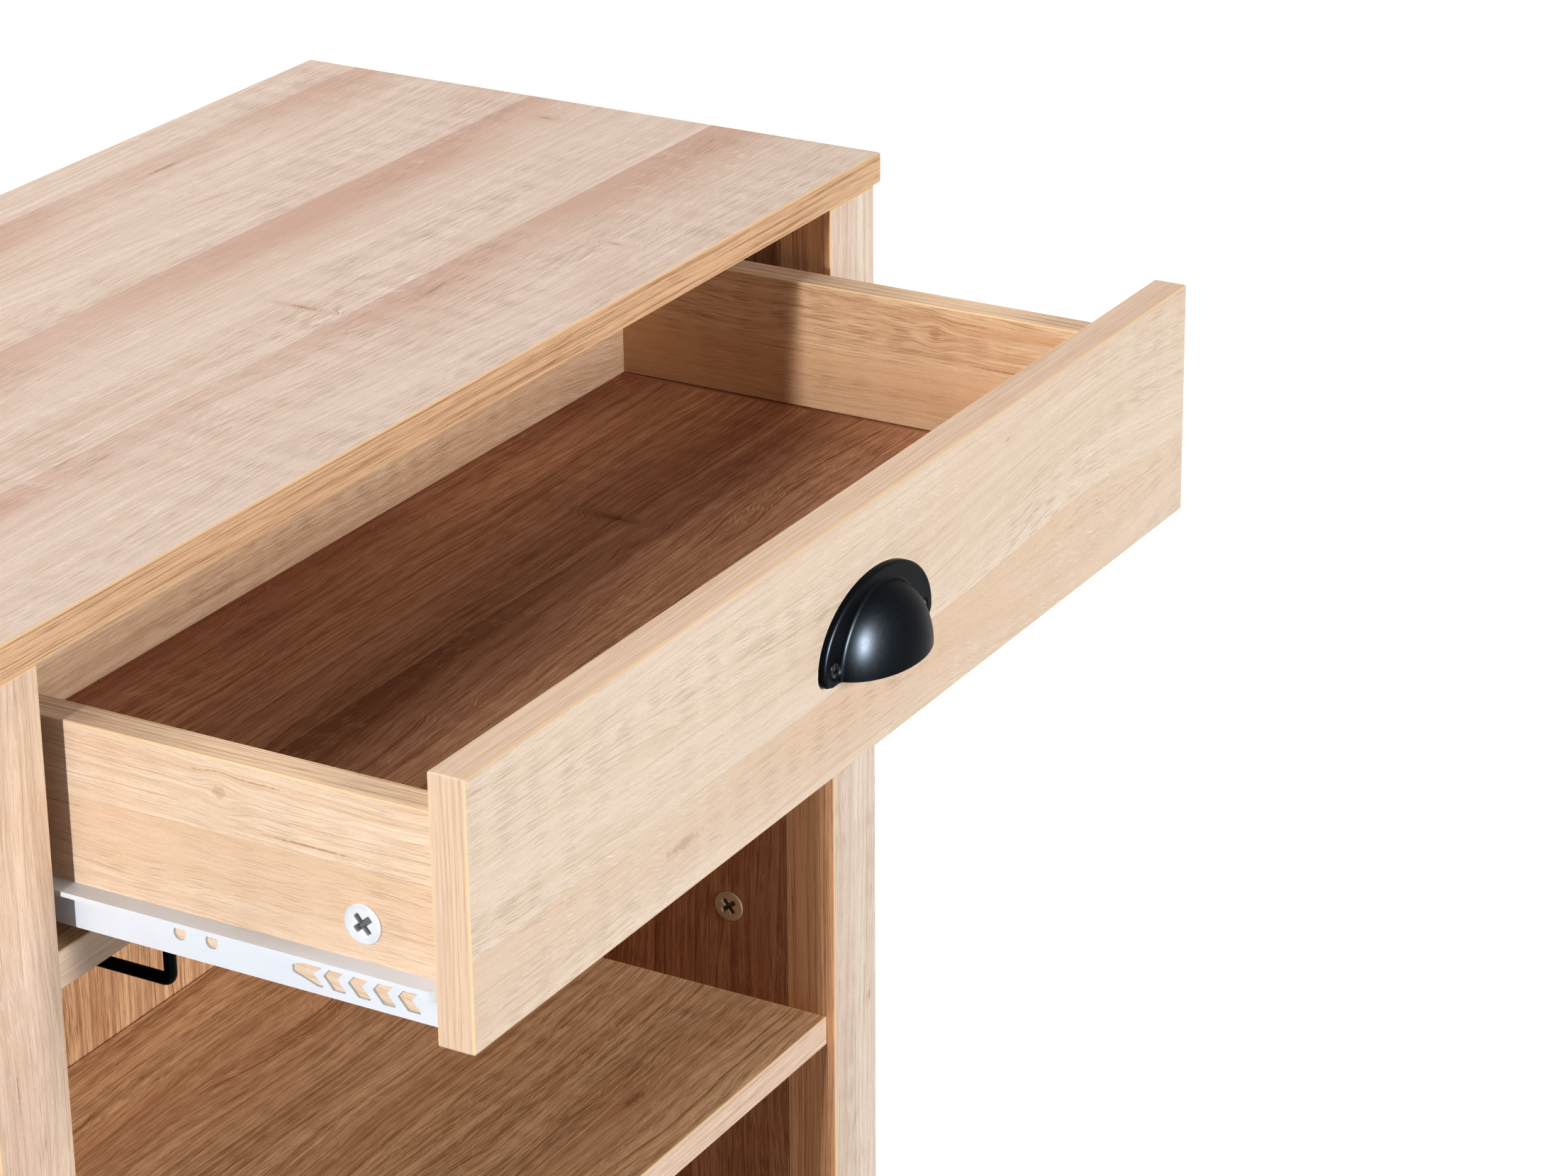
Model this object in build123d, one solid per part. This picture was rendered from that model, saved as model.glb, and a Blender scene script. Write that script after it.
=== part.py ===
"""A light oak sideboard: a drawer, an open middle bay with wire hanging rails, and an open lower bay.

Millimetres. X runs to the right, Y to the back and Z up. The pieces are first placed with X = 0 midway
between the two ends, Y = 0 at the front face of the posts and Z = 0 at the floor. When they are written
they are moved along Y, so that the middle of the whole outline, with the drawer pulled out as shown,
stands at Y = 0. The drawer is drawn pulled out by its full travel.
"""

import os

from build123d import *

# Overall sizes of the cabinet
overall_width = 700.0
overall_depth = 335.0
overall_height = 850.0

# Boards
board = 15.0
shelf_board = 16.0
front_board = 16.0
edge_ease = 0.6
front_edge_ease = 0.8
back_panel_thickness = 3.0

# Posts and ends
end_overhang = 7.0
post_width = 43.0
post_depth = 28.0
glide_height = 4.0
glide_radius = 9.0
glide_pin_radius = 2.0
glide_pin_length = 14.0
glide_round = 1.5

# Shelves, measured down from the top surface or up from the floor
drawer_bay_height = 120.0
middle_bay_height = 297.0
bottom_shelf_rise = 70.0
divider_setback = 1.0
shelf_setback = 5.0
back_panel_setback = 19.0
shelf_back_gap = 1.0
groove_depth = 4.0
groove_clearance = 0.15

# Drawer
drawer_travel = 187.0
front_side_gap = 2.0
front_top_gap = 5.5
front_bottom_gap = 4.5
side_clearance = 12.5
drawer_side_top_gap = 27.5
drawer_side_bottom_gap = 7.5
drawer_inner_depth = 271.0
drawer_bottom_rise = 19.5
drawer_bottom_thickness = 3.0
drawer_groove_depth = 5.0

# Roller runners
runner_length = 250.0
runner_sheet = 1.2
drawer_member_height = 18.5
drawer_member_flange = 9.0
drawer_member_foot = 12.0
flange_lip_drop = 2.0
flange_lip_thickness = 0.9
curl_length = 7.0
curl_drop = 4.2
flange_corner_radius = 5.0
roller_radius = 7.5
roller_width = 4.8
roller_edge_round = 0.8
roller_running_gap = 0.25
roller_side_gap = 1.2
front_roller_side_gap = 1.7
rivet_radius = 2.5
rivet_clearance = 0.06
rivet_head_radius = 3.6
rivet_head_thickness = 0.8
rivet_play = 0.3
drawer_member_gap = 0.5
cabinet_member_gap = 2.0
cabinet_roller_setback = 12.0
channel_start_gap = 3.0
channel_lip_step = 1.0
flange_rear_reach = 2.0
drawer_roller_end_gap = 11.0
channel_headroom = 1.0
channel_gap = 0.8
runner_hole_radius = 2.9
runner_hole_places = (106.4, 121.2)
runner_hole_rise = 9.6
chevron_count = 4
chevron_pitch = 11.0
chevron_first = 22.9
chevron_width = 6.3
chevron_height = 10.2
chevron_point = 4.4
chevron_rise = 3.2
teardrop_length = 13.5
teardrop_tail = 3.0
teardrop_upper_width = 6.5
teardrop_lower_width = 3.5
teardrop_upper_shift = 3.0
teardrop_lower_shift = 1.0
cut_out_round = 0.6

# Cam locks, bolts, dowels and screws
cam_radius = 7.5
cam_depth = 12.0
cam_rim_radius = 8.2
cam_rim_thickness = 0.6
cam_clearance = 0.12
cam_cross_length = 7.6
cam_cross_width = 1.8
cam_cross_depth = 2.0
cam_cross_turn = 45.0
cam_offset = 34.0
drawer_cam_offset = 38.0
cam_bolt_radius = 2.5
cam_bolt_neck_radius = 1.6
cam_bolt_head_radius = 3.2
cam_bolt_head_length = 2.2
cam_bolt_thread_length = 10.0
cam_bolt_neck_reach = 1.0
cam_bolt_clearance = 0.1
cam_pocket_clearance = 0.4
dowel_radius = 3.0
dowel_length = 28.0
dowel_chamfer = 0.8
dowel_clearance = 0.1
seam_cam_bottom_gap = 48.0
seam_cam_shelf_gap = 49.0
seam_cam_top_gap = 51.0
seam_dowel_shelf_gap = 136.0
seam_dowel_divider_gap = 59.0
shelf_cam_setbacks = (80.0, 245.0)
top_cam_setbacks = (105.0, 230.0)
drawer_cam_rise = 32.5
drawer_dowel_drop = 19.0
screw_head_radius = 3.4
screw_head_thickness = 1.6
screw_head_round = 0.7
screw_cross_length = 3.6
screw_cross_width = 0.8
screw_cross_depth = 0.8
screw_shank_radius = 1.6
screw_length = 12.0
screw_clearance = 0.1
runner_screw_places = (45.0, 150.0, 215.0)
channel_screw_places = (60.0, 215.0)
back_screw_radius = 2.2
back_screw_length = 42.0
back_screw_head_radius = 4.0
back_screw_head_depth = 3.0
back_screw_cross_length = 4.4
back_screw_cross_width = 1.0
back_screw_cross_depth = 1.5
back_screw_rise = 34.0
back_screw_drop = 19.0

# Cup pull
pull_width = 91.0
pull_height = 37.0
pull_flange = 3.5
pull_shoulder = 6.0
pull_corner = 5.0
pull_flange_round = 1.0
pull_projection = 22.0
pull_bottom_drop = 66.5
cup_half_width = 33.5
cup_height = 31.5
cup_wall = 2.0
pull_screw_spacing = 74.0
pull_screw_rise = 6.5
pull_screw_radius = 1.8
pull_screw_head_radius = 3.4
pull_screw_head_depth = 2.0
pull_screw_length = 15.0
pull_screw_sink = 0.5
pull_screw_head_chamfer = 0.4
pull_screw_head_clearance = 0.25
pull_screw_end_clearance = 0.3
pull_screw_cross_length = 3.8
pull_screw_cross_width = 1.0
pull_screw_cross_depth = 1.2

# Hanging rails under the drawer divider
rail_wire = 5.5
rail_bend = 3.2
rail_drop = 48.0
rail_front_setback = 23.0
rail_back_setback = 285.0
rail_span = 205.0
rail_plate_length = 36.0
rail_plate_width = 14.0
rail_plate_thickness = 2.0
rail_screw_offset = 11.0

# Worked-out planes of the carcass
post_outer_x = overall_width / 2 - end_overhang
opening_half = post_outer_x - post_width
panel_outer_x = opening_half + board
top_under = overall_height - board
divider_top = top_under - drawer_bay_height
divider_under = divider_top - shelf_board
shelf_top = divider_under - middle_bay_height
shelf_under = shelf_top - shelf_board
bottom_top = bottom_shelf_rise + shelf_board
rear_post_front = overall_depth - post_depth
back_panel_front = overall_depth - back_panel_setback - back_panel_thickness
shelf_back = back_panel_front - shelf_back_gap
seam_cam_heights = (
    bottom_shelf_rise + seam_cam_bottom_gap,
    shelf_top + seam_cam_shelf_gap,
    top_under - seam_cam_top_gap,
)
seam_dowel_heights = (shelf_under - seam_dowel_shelf_gap, divider_under - seam_dowel_divider_gap)

# Worked-out planes of the drawer, which is drawn pulled out
front_face_y = -drawer_travel
front_back_y = front_face_y + front_board
front_half = opening_half - front_side_gap
front_top = top_under - front_top_gap
front_bottom = divider_top + front_bottom_gap
side_outer_x = opening_half - side_clearance
side_inner_x = side_outer_x - board
side_top = top_under - drawer_side_top_gap
side_bottom = divider_top + drawer_side_bottom_gap
drawer_back_front = front_back_y + drawer_inner_depth
drawer_back_rear = drawer_back_front + board
bottom_under = side_bottom + drawer_bottom_rise
bottom_upper = bottom_under + drawer_bottom_thickness

# Worked-out heights of the runners
member_bottom = side_bottom - runner_sheet
member_top = member_bottom + drawer_member_height
flange_under = member_top - runner_sheet
roller_z = flange_under - roller_running_gap - roller_radius
channel_floor = roller_z - roller_radius - roller_running_gap
channel_ceiling = member_top + channel_headroom
channel_web_x = opening_half - runner_sheet
drawer_web_x = side_outer_x + runner_sheet
drawer_roller_x = drawer_web_x + roller_side_gap
cabinet_roller_x = drawer_web_x + front_roller_side_gap
member_front_y = front_back_y + drawer_member_gap
member_rear_y = member_front_y + runner_length
drawer_roller_y = member_rear_y - drawer_roller_end_gap
cabinet_member_front = front_board + cabinet_member_gap
cabinet_member_rear = cabinet_member_front + runner_length
cabinet_roller_y = cabinet_member_front + cabinet_roller_setback

# Worked-out places of the pull and the hanging rails
pull_bottom = front_top - pull_bottom_drop
pull_top = pull_bottom + pull_height
pull_screw_z = pull_bottom + pull_screw_rise
rail_plate_under = divider_under - rail_plate_thickness
rail_wire_z = divider_under - rail_drop + rail_wire / 2
middle_y = (overall_depth - drawer_travel - pull_projection) / 2

parts = {}


def block(x0, x1, y0, y1, z0, z1):
    """A plain block between two corners."""
    low = (min(x0, x1), min(y0, y1), min(z0, z1))
    size = (abs(x1 - x0), abs(y1 - y0), abs(z1 - z0))
    return Pos(*low) * Box(*size, align=(Align.MIN, Align.MIN, Align.MIN))


def plank(x0, x1, y0, y1, z0, z1, ease=None):
    """A board with its edges eased."""
    solid = block(x0, x1, y0, y1, z0, z1)
    return fillet(solid.edges(), edge_ease if ease is None else ease)


def rod(radius, start, direction, length):
    """A round bar from a start point along one axis: x, y or z, with a sign."""
    turns = {
        "+x": (0, 90, 0),
        "-x": (0, -90, 0),
        "+y": (-90, 0, 0),
        "-y": (90, 0, 0),
        "+z": (0, 0, 0),
        "-z": (180, 0, 0),
    }
    bar = Cylinder(radius, length, align=(Align.CENTER, Align.CENTER, Align.MIN))
    return Pos(*start) * Rot(*turns[direction]) * bar


def step_along(point, direction, distance):
    """The point moved along a signed axis."""
    sign = 1 if direction[0] == "+" else -1
    shift = {"x": (1, 0, 0), "y": (0, 1, 0), "z": (0, 0, 1)}[direction[1]]
    return tuple(p + sign * distance * s for p, s in zip(point, shift))


def opposite(direction):
    """The same axis with the other sign."""
    return ("-" if direction[0] == "+" else "+") + direction[1]


def cross_cut(point, out, length, width, depth, turn=0.0):
    """The cross recess of a screw or cam, sunk from a point on a face that looks along out."""
    middle = step_along(point, opposite(out), depth / 2)
    turns = {"x": (0, 90, 0), "y": (90, 0, 0), "z": (0, 0, 0)}[out[1]]
    bar = Box(length, width, depth)
    upright = Pos(*middle) * Rot(*turns) * Rot(0, 0, turn) * bar
    crossing = Pos(*middle) * Rot(*turns) * Rot(0, 0, turn + 90) * bar
    return upright + crossing


class CamLock:
    """A cam in a board face with the bolt that it pulls.

    face is the point on the board face over the cam's centre, out is the way the face looks, and toward is
    the way from the cam to the board that the bolt is screwed into, whose face is offset away.
    """

    def __init__(self, face, out, toward, offset, thickness):
        self.face, self.out, self.toward = face, out, toward
        self.offset, self.thickness = offset, thickness
        self.centre = step_along(face, opposite(out), thickness / 2)

    def cam(self):
        """The cam, with its rim, its cross and the pocket that holds the bolt's head."""
        inward = opposite(self.out)
        body = rod(cam_radius, self.face, inward, cam_depth)
        body += rod(cam_rim_radius, self.face, self.out, cam_rim_thickness)
        outer = step_along(self.face, self.out, cam_rim_thickness)
        sizes = (cam_cross_length, cam_cross_width, cam_cross_depth)
        body -= cross_cut(outer, self.out, *sizes, cam_cross_turn)
        pocket = cam_bolt_head_radius + cam_pocket_clearance
        start = step_along(self.centre, opposite(self.toward), pocket)
        body -= rod(pocket, start, self.toward, cam_radius + 2 * pocket)
        return body

    def bolt(self):
        """The bolt: a head in the cam, a neck, a collar across the gap and a thread in the other board."""
        head_start = step_along(self.centre, opposite(self.toward), cam_bolt_head_length / 2)
        bolt = rod(cam_bolt_head_radius, head_start, self.toward, cam_bolt_head_length)
        neck_start = step_along(head_start, self.toward, cam_bolt_head_length)
        neck_length = cam_radius - cam_bolt_head_length / 2 + cam_bolt_neck_reach
        bolt += rod(cam_bolt_neck_radius, neck_start, self.toward, neck_length)
        shank_start = step_along(neck_start, self.toward, neck_length)
        shank_length = self.offset + cam_bolt_thread_length
        shank_length -= cam_bolt_head_length / 2 + neck_length
        return bolt + rod(cam_bolt_radius, shank_start, self.toward, shank_length)

    def cam_bore(self):
        """What is drilled out of the board that holds the cam."""
        radius = cam_radius + cam_clearance
        bore = rod(radius, self.face, opposite(self.out), cam_depth + cam_clearance)
        return bore + self.bolt_bore()

    def bolt_bore(self):
        """What is drilled for the bolt, from the cam through into the other board."""
        reach = self.offset + cam_bolt_thread_length + cam_bolt_clearance
        return rod(cam_bolt_radius + cam_bolt_clearance, self.centre, self.toward, reach)


def dowel(middle, axis):
    """A wooden dowel, centred on the joint that it crosses."""
    start = step_along(middle, opposite(axis), dowel_length / 2)
    pin = rod(dowel_radius, start, axis, dowel_length)
    return chamfer(pin.edges(), dowel_chamfer)


def dowel_bore(middle, axis):
    """The pair of holes for a dowel."""
    length = dowel_length + 2 * dowel_clearance
    start = step_along(middle, opposite(axis), length / 2)
    return rod(dowel_radius + dowel_clearance, start, axis, length)


def screw(seat, out, length=screw_length):
    """A pan-head screw. seat is the point under the head, and out is the way that the head looks."""
    head = rod(screw_head_radius, seat, out, screw_head_thickness)
    outward = Axis(seat, step_along((0, 0, 0), out, 1))
    head = fillet(head.edges().sort_by(outward)[-1], screw_head_round)
    top = step_along(seat, out, screw_head_thickness)
    head -= cross_cut(top, out, screw_cross_length, screw_cross_width, screw_cross_depth)
    return head + rod(screw_shank_radius, seat, opposite(out), length)


def screw_bore(seat, out, length=screw_length):
    """The hole for a screw's shank."""
    start = step_along(seat, out, screw_head_thickness)
    reach = length + screw_head_thickness + screw_clearance
    return rod(screw_shank_radius + screw_clearance, start, opposite(out), reach)


def mirrored(solid):
    """The same piece on the left."""
    return mirror(solid, Plane.YZ)


def seam_cams(side):
    """The cams that pull the posts onto the side panel, in the panel's inner face."""
    face_x = side * opening_half
    out = "-x" if side > 0 else "+x"
    for height in seam_cam_heights:
        front = (face_x, post_depth + cam_offset, height)
        rear = (face_x, rear_post_front - cam_offset, height)
        yield CamLock(front, out, "-y", cam_offset, board)
        yield CamLock(rear, out, "+y", cam_offset, board)


def top_cams(side):
    """The cams near the top of the side panel that hold the top down."""
    face_x = side * opening_half
    out = "-x" if side > 0 else "+x"
    for setback in top_cam_setbacks:
        yield CamLock((face_x, setback, top_under - cam_offset), out, "+z", cam_offset, board)


def shelf_cams(side, under):
    """The cams in the underside of a shelf that pull its end onto the side panel."""
    for setback in shelf_cam_setbacks:
        face = (side * (opening_half - cam_offset), setback, under)
        yield CamLock(face, "-z", "+x" if side > 0 else "-x", cam_offset, shelf_board)


def seam_dowels(side):
    """The middles of the dowels between the posts and the side panel."""
    for height in seam_dowel_heights:
        for y in (post_depth, rear_post_front):
            yield (side * (opening_half + board / 2), y, height)


def make_carcass_boards():
    """The top, the side panels, the posts and the shelves, all drilled for their fastenings."""
    half = overall_width / 2
    top = plank(-half, half, 0, overall_depth, top_under, overall_height)
    shelves = {
        "drawer_divider": (divider_setback, divider_under, divider_top),
        "middle_shelf": (shelf_setback, shelf_under, shelf_top),
        "bottom_shelf": (shelf_setback, bottom_shelf_rise, bottom_top),
    }
    boards = {
        name: plank(-opening_half, opening_half, setback, shelf_back, low, high)
        for name, (setback, low, high) in shelves.items()
    }
    cams, bolts, dowels = [], [], []
    for side, end in ((-1, "left"), (1, "right")):
        panel = make_side_panel(side)
        posts = {"front": make_post(side, 0), "rear": make_post(side, rear_post_front)}
        for lock in seam_cams(side):
            post = "front" if lock.toward == "-y" else "rear"
            panel -= lock.cam_bore()
            posts[post] -= lock.bolt_bore()
            cams.append(lock.cam())
            bolts.append(lock.bolt())
        for lock in top_cams(side):
            panel -= lock.cam_bore()
            top -= lock.bolt_bore()
            cams.append(lock.cam())
            bolts.append(lock.bolt())
        for name, (_, under, _) in shelves.items():
            for lock in shelf_cams(side, under):
                boards[name] -= lock.cam_bore()
                panel -= lock.bolt_bore()
                cams.append(lock.cam())
                bolts.append(lock.bolt())
        for middle in seam_dowels(side):
            panel -= dowel_bore(middle, "+y")
            posts["front" if middle[1] == post_depth else "rear"] -= dowel_bore(middle, "+y")
            dowels.append(dowel(middle, "+y"))
        for name, post in posts.items():
            parts[f"{name}_post_{end}"] = post
        parts[f"side_panel_{end}"] = panel
    parts["top_panel"] = top
    parts.update(boards)
    parts["carcass_cams"] = cams
    parts["carcass_cam_bolts"] = bolts
    parts["carcass_dowels"] = dowels


def make_side_panel(side):
    """The panel between the front and rear posts of one end, flush with them on the inside."""
    panel = plank(
        side * opening_half,
        side * panel_outer_x,
        post_depth,
        rear_post_front,
        bottom_shelf_rise,
        top_under,
    )
    for place in channel_screw_places:
        panel -= screw_bore(channel_screw_seat(side, place), channel_out(side))
    return panel


def make_post(side, front):
    """A post that stands on its glide, with the back panel's groove where it is a rear one."""
    post = plank(
        side * opening_half,
        side * post_outer_x,
        front,
        front + post_depth,
        glide_height,
        top_under,
    )
    foot = (side * (opening_half + post_width / 2), front + post_depth / 2, glide_height)
    post -= rod(glide_pin_radius + screw_clearance, foot, "+z", glide_pin_length + screw_clearance)
    if front > 0:
        post -= block(
            side * opening_half,
            side * (opening_half + groove_depth + groove_clearance),
            back_panel_front - groove_clearance,
            back_panel_front + back_panel_thickness + groove_clearance,
            bottom_shelf_rise - groove_clearance,
            top_under,
        )
    return post


def make_back_panel():
    """The thin back, slid into the grooves of the rear posts."""
    reach = opening_half + groove_depth
    parts["back_panel"] = block(
        -reach,
        reach,
        back_panel_front,
        back_panel_front + back_panel_thickness,
        bottom_shelf_rise,
        top_under,
    )


def make_glides():
    """Four nailed plastic glides under the posts."""
    glides = []
    for side in (-1, 1):
        for front in (0, rear_post_front):
            x = side * (opening_half + post_width / 2)
            y = front + post_depth / 2
            pad = rod(glide_radius, (x, y, 0), "+z", glide_height)
            pad = fillet(pad.edges().group_by(Axis.Z)[0], glide_round)
            glides.append(pad + rod(glide_pin_radius, (x, y, glide_height), "+z", glide_pin_length))
    parts["foot_glides"] = glides


def channel_out(side):
    """The way that the cabinet member of one side looks."""
    return "-x" if side > 0 else "+x"


def channel_screw_seat(side, place):
    """Where a screw of the cabinet member seats, on the member's web."""
    height = (channel_floor + channel_ceiling) / 2
    return (side * channel_web_x, cabinet_member_front + place, height)


def make_cabinet_runners():
    """The fixed channels with their screws, rollers and rivets."""
    lip_x = drawer_web_x + channel_gap
    floor_front = cabinet_roller_y + roller_radius + channel_start_gap
    floor_under = channel_floor - runner_sheet
    ceiling_top = channel_ceiling + runner_sheet
    front, rear = cabinet_member_front, cabinet_member_rear
    web = block(channel_web_x, opening_half, front, rear, floor_under, ceiling_top)
    web += block(lip_x, opening_half, floor_front, rear, floor_under, channel_floor)
    web += block(lip_x + channel_lip_step, opening_half, front, rear, channel_ceiling, ceiling_top)
    screws = []
    for place in channel_screw_places:
        web -= screw_bore(channel_screw_seat(1, place), "-x")
        for side in (-1, 1):
            screws.append(screw(channel_screw_seat(side, place), channel_out(side)))
    web -= rod(rivet_radius, (channel_web_x, cabinet_roller_y, roller_z), "+x", runner_sheet)
    parts["cabinet_runner_right"] = web
    parts["cabinet_runner_left"] = mirrored(web)
    parts["cabinet_runner_screws"] = screws
    reach = opening_half - cabinet_roller_x + rivet_play
    rivet = rod(rivet_radius, (opening_half, cabinet_roller_y, roller_z), "-x", reach)
    head = (opening_half - reach, cabinet_roller_y, roller_z)
    rivet += rod(rivet_head_radius, head, "-x", rivet_head_thickness)
    parts["cabinet_roller_rivets"] = [rivet, mirrored(rivet)]
    roller = make_roller((cabinet_roller_x, cabinet_roller_y, roller_z))
    parts["front_roller_right"] = roller
    parts["front_roller_left"] = mirrored(roller)


def make_roller(start):
    """A nylon roller with its bore, standing along +X from its start face."""
    wheel = rod(roller_radius, start, "+x", roller_width)
    wheel = fillet(wheel.edges(), roller_edge_round)
    return wheel - rod(rivet_radius + rivet_clearance, start, "+x", roller_width)


def flange_outline(inset):
    """The drawer member's top flange seen from above, drawn in by inset on its outer and front edges."""
    x0, x1 = side_outer_x, side_outer_x + drawer_member_flange - inset
    y0, y1 = member_front_y + inset, drawer_roller_y + roller_radius + flange_rear_reach
    sheet = Pos((x0 + x1) / 2, (y0 + y1) / 2) * Rectangle(x1 - x0, y1 - y0)
    corner = sheet.vertices().sort_by(Axis.Y)[:2].sort_by(Axis.X)[-1]
    return fillet(corner, flange_corner_radius - inset)


def chevron(front):
    """A chevron cut-out whose point looks to the back, its point lying front behind the member's end."""
    y = member_front_y + front
    z = member_bottom + chevron_rise + chevron_height / 2
    half = chevron_height / 2
    corners = [
        (y, z),
        (y - chevron_point, z + half),
        (y - chevron_point - chevron_width, z + half),
        (y - chevron_width, z),
        (y - chevron_point - chevron_width, z - half),
        (y - chevron_point, z - half),
    ]
    face = make_face(Polyline(*corners, close=True))
    return fillet(face.vertices(), cut_out_round)


def teardrop(front):
    """The long first cut-out: a chevron's front edge drawn out to a rounded tail at the back."""
    y = member_front_y + front
    z = member_bottom + chevron_rise + chevron_height / 2
    half = chevron_height / 2
    tail = y + teardrop_length - chevron_point
    upper = y - chevron_point - teardrop_upper_shift
    lower = y - chevron_point - teardrop_lower_shift
    corners = [
        (tail, z + teardrop_tail / 2),
        (upper + teardrop_upper_width, z + half),
        (upper, z + half),
        (y, z),
        (lower, z - half),
        (lower + teardrop_lower_width, z - half),
        (tail, z - teardrop_tail / 2),
    ]
    face = make_face(Polyline(*corners, close=True))
    return fillet(face.vertices(), cut_out_round)


def web_cutters():
    """The cut-outs and holes of the drawer member's web."""
    start = side_outer_x - runner_sheet
    plane = Plane(origin=(start, 0, 0), x_dir=(0, 1, 0), z_dir=(1, 0, 0))
    depth = 3 * runner_sheet
    for number in range(chevron_count):
        yield extrude(plane * chevron(chevron_first + number * chevron_pitch), depth)
    last = chevron_first + chevron_count * chevron_pitch
    yield extrude(plane * teardrop(last - chevron_width), depth)
    for place in runner_hole_places:
        centre = (start, member_front_y + place, member_bottom + runner_hole_rise)
        yield rod(runner_hole_radius, centre, "+x", depth)


def make_drawer_runners():
    """The moving members under the drawer sides, with their screws, rollers and rivets."""
    web = block(
        side_outer_x, drawer_web_x, member_front_y, member_rear_y, member_bottom, member_top
    )
    for cutter in web_cutters():
        web -= cutter
    foot = block(
        side_outer_x - drawer_member_foot,
        drawer_web_x,
        member_front_y,
        member_rear_y,
        member_bottom,
        side_bottom,
    )
    flange = extrude(Pos(0, 0, flange_under) * flange_outline(0), runner_sheet)
    lip_low = member_top - flange_lip_drop
    lip_face = flange_outline(0) - flange_outline(flange_lip_thickness)
    lip = extrude(Pos(0, 0, lip_low) * lip_face, flange_lip_drop)
    curl = extrude(Pos(0, 0, member_top - curl_drop) * lip_face, curl_drop)
    curl &= block(
        side_outer_x,
        side_outer_x + drawer_member_flange,
        member_front_y,
        member_front_y + curl_length,
        member_bottom,
        member_top,
    )
    member = web + foot + flange + lip + curl
    screws = []
    for place in runner_screw_places:
        seat = (side_outer_x - board / 2, member_front_y + place, member_bottom)
        member -= screw_bore(seat, "-z")
        screws.append(screw(seat, "-z"))
        screws.append(mirrored(screws[-1]))
    axle = (side_outer_x, drawer_roller_y, roller_z)
    member -= rod(rivet_radius, axle, "+x", runner_sheet)
    parts["drawer_runner_right"] = member
    parts["drawer_runner_left"] = mirrored(member)
    parts["drawer_runner_screws"] = screws
    reach = drawer_roller_x - side_outer_x + roller_width + rivet_play
    rivet = rod(rivet_radius, axle, "+x", reach)
    head = (side_outer_x + reach, drawer_roller_y, roller_z)
    rivet += rod(rivet_head_radius, head, "+x", rivet_head_thickness)
    parts["drawer_roller_rivets"] = [rivet, mirrored(rivet)]
    roller = make_roller((drawer_roller_x, drawer_roller_y, roller_z))
    parts["rear_roller_right"] = roller
    parts["rear_roller_left"] = mirrored(roller)


def drawer_locks(side):
    """The cam in the outer face of a drawer side that pulls the front on."""
    face = (side * side_outer_x, front_back_y + drawer_cam_offset, side_bottom + drawer_cam_rise)
    return CamLock(face, "+x" if side > 0 else "-x", "-y", drawer_cam_offset, board)


def drawer_side_dowels(side):
    """The middle of the dowel between a drawer side and the front."""
    return (side * (side_outer_x - board / 2), front_back_y, side_top - drawer_dowel_drop)


def back_screw(side, height):
    """A flat-head screw through a drawer side into the end of the drawer back."""
    seat = (side * side_outer_x, drawer_back_front + board / 2, height)
    out = "+x" if side > 0 else "-x"
    inward = opposite(out)
    head = rod(back_screw_head_radius, seat, inward, back_screw_head_depth)
    sizes = (back_screw_cross_length, back_screw_cross_width, back_screw_cross_depth)
    head -= cross_cut(seat, out, *sizes)
    shank_start = step_along(seat, inward, back_screw_head_depth)
    shank = rod(back_screw_radius, shank_start, inward, back_screw_length - back_screw_head_depth)
    head_depth = back_screw_head_depth + screw_clearance
    bore = rod(back_screw_head_radius + screw_clearance, seat, inward, head_depth)
    shank_depth = back_screw_length + screw_clearance
    bore += rod(back_screw_radius + screw_clearance, seat, inward, shank_depth)
    return head + shank, bore


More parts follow.
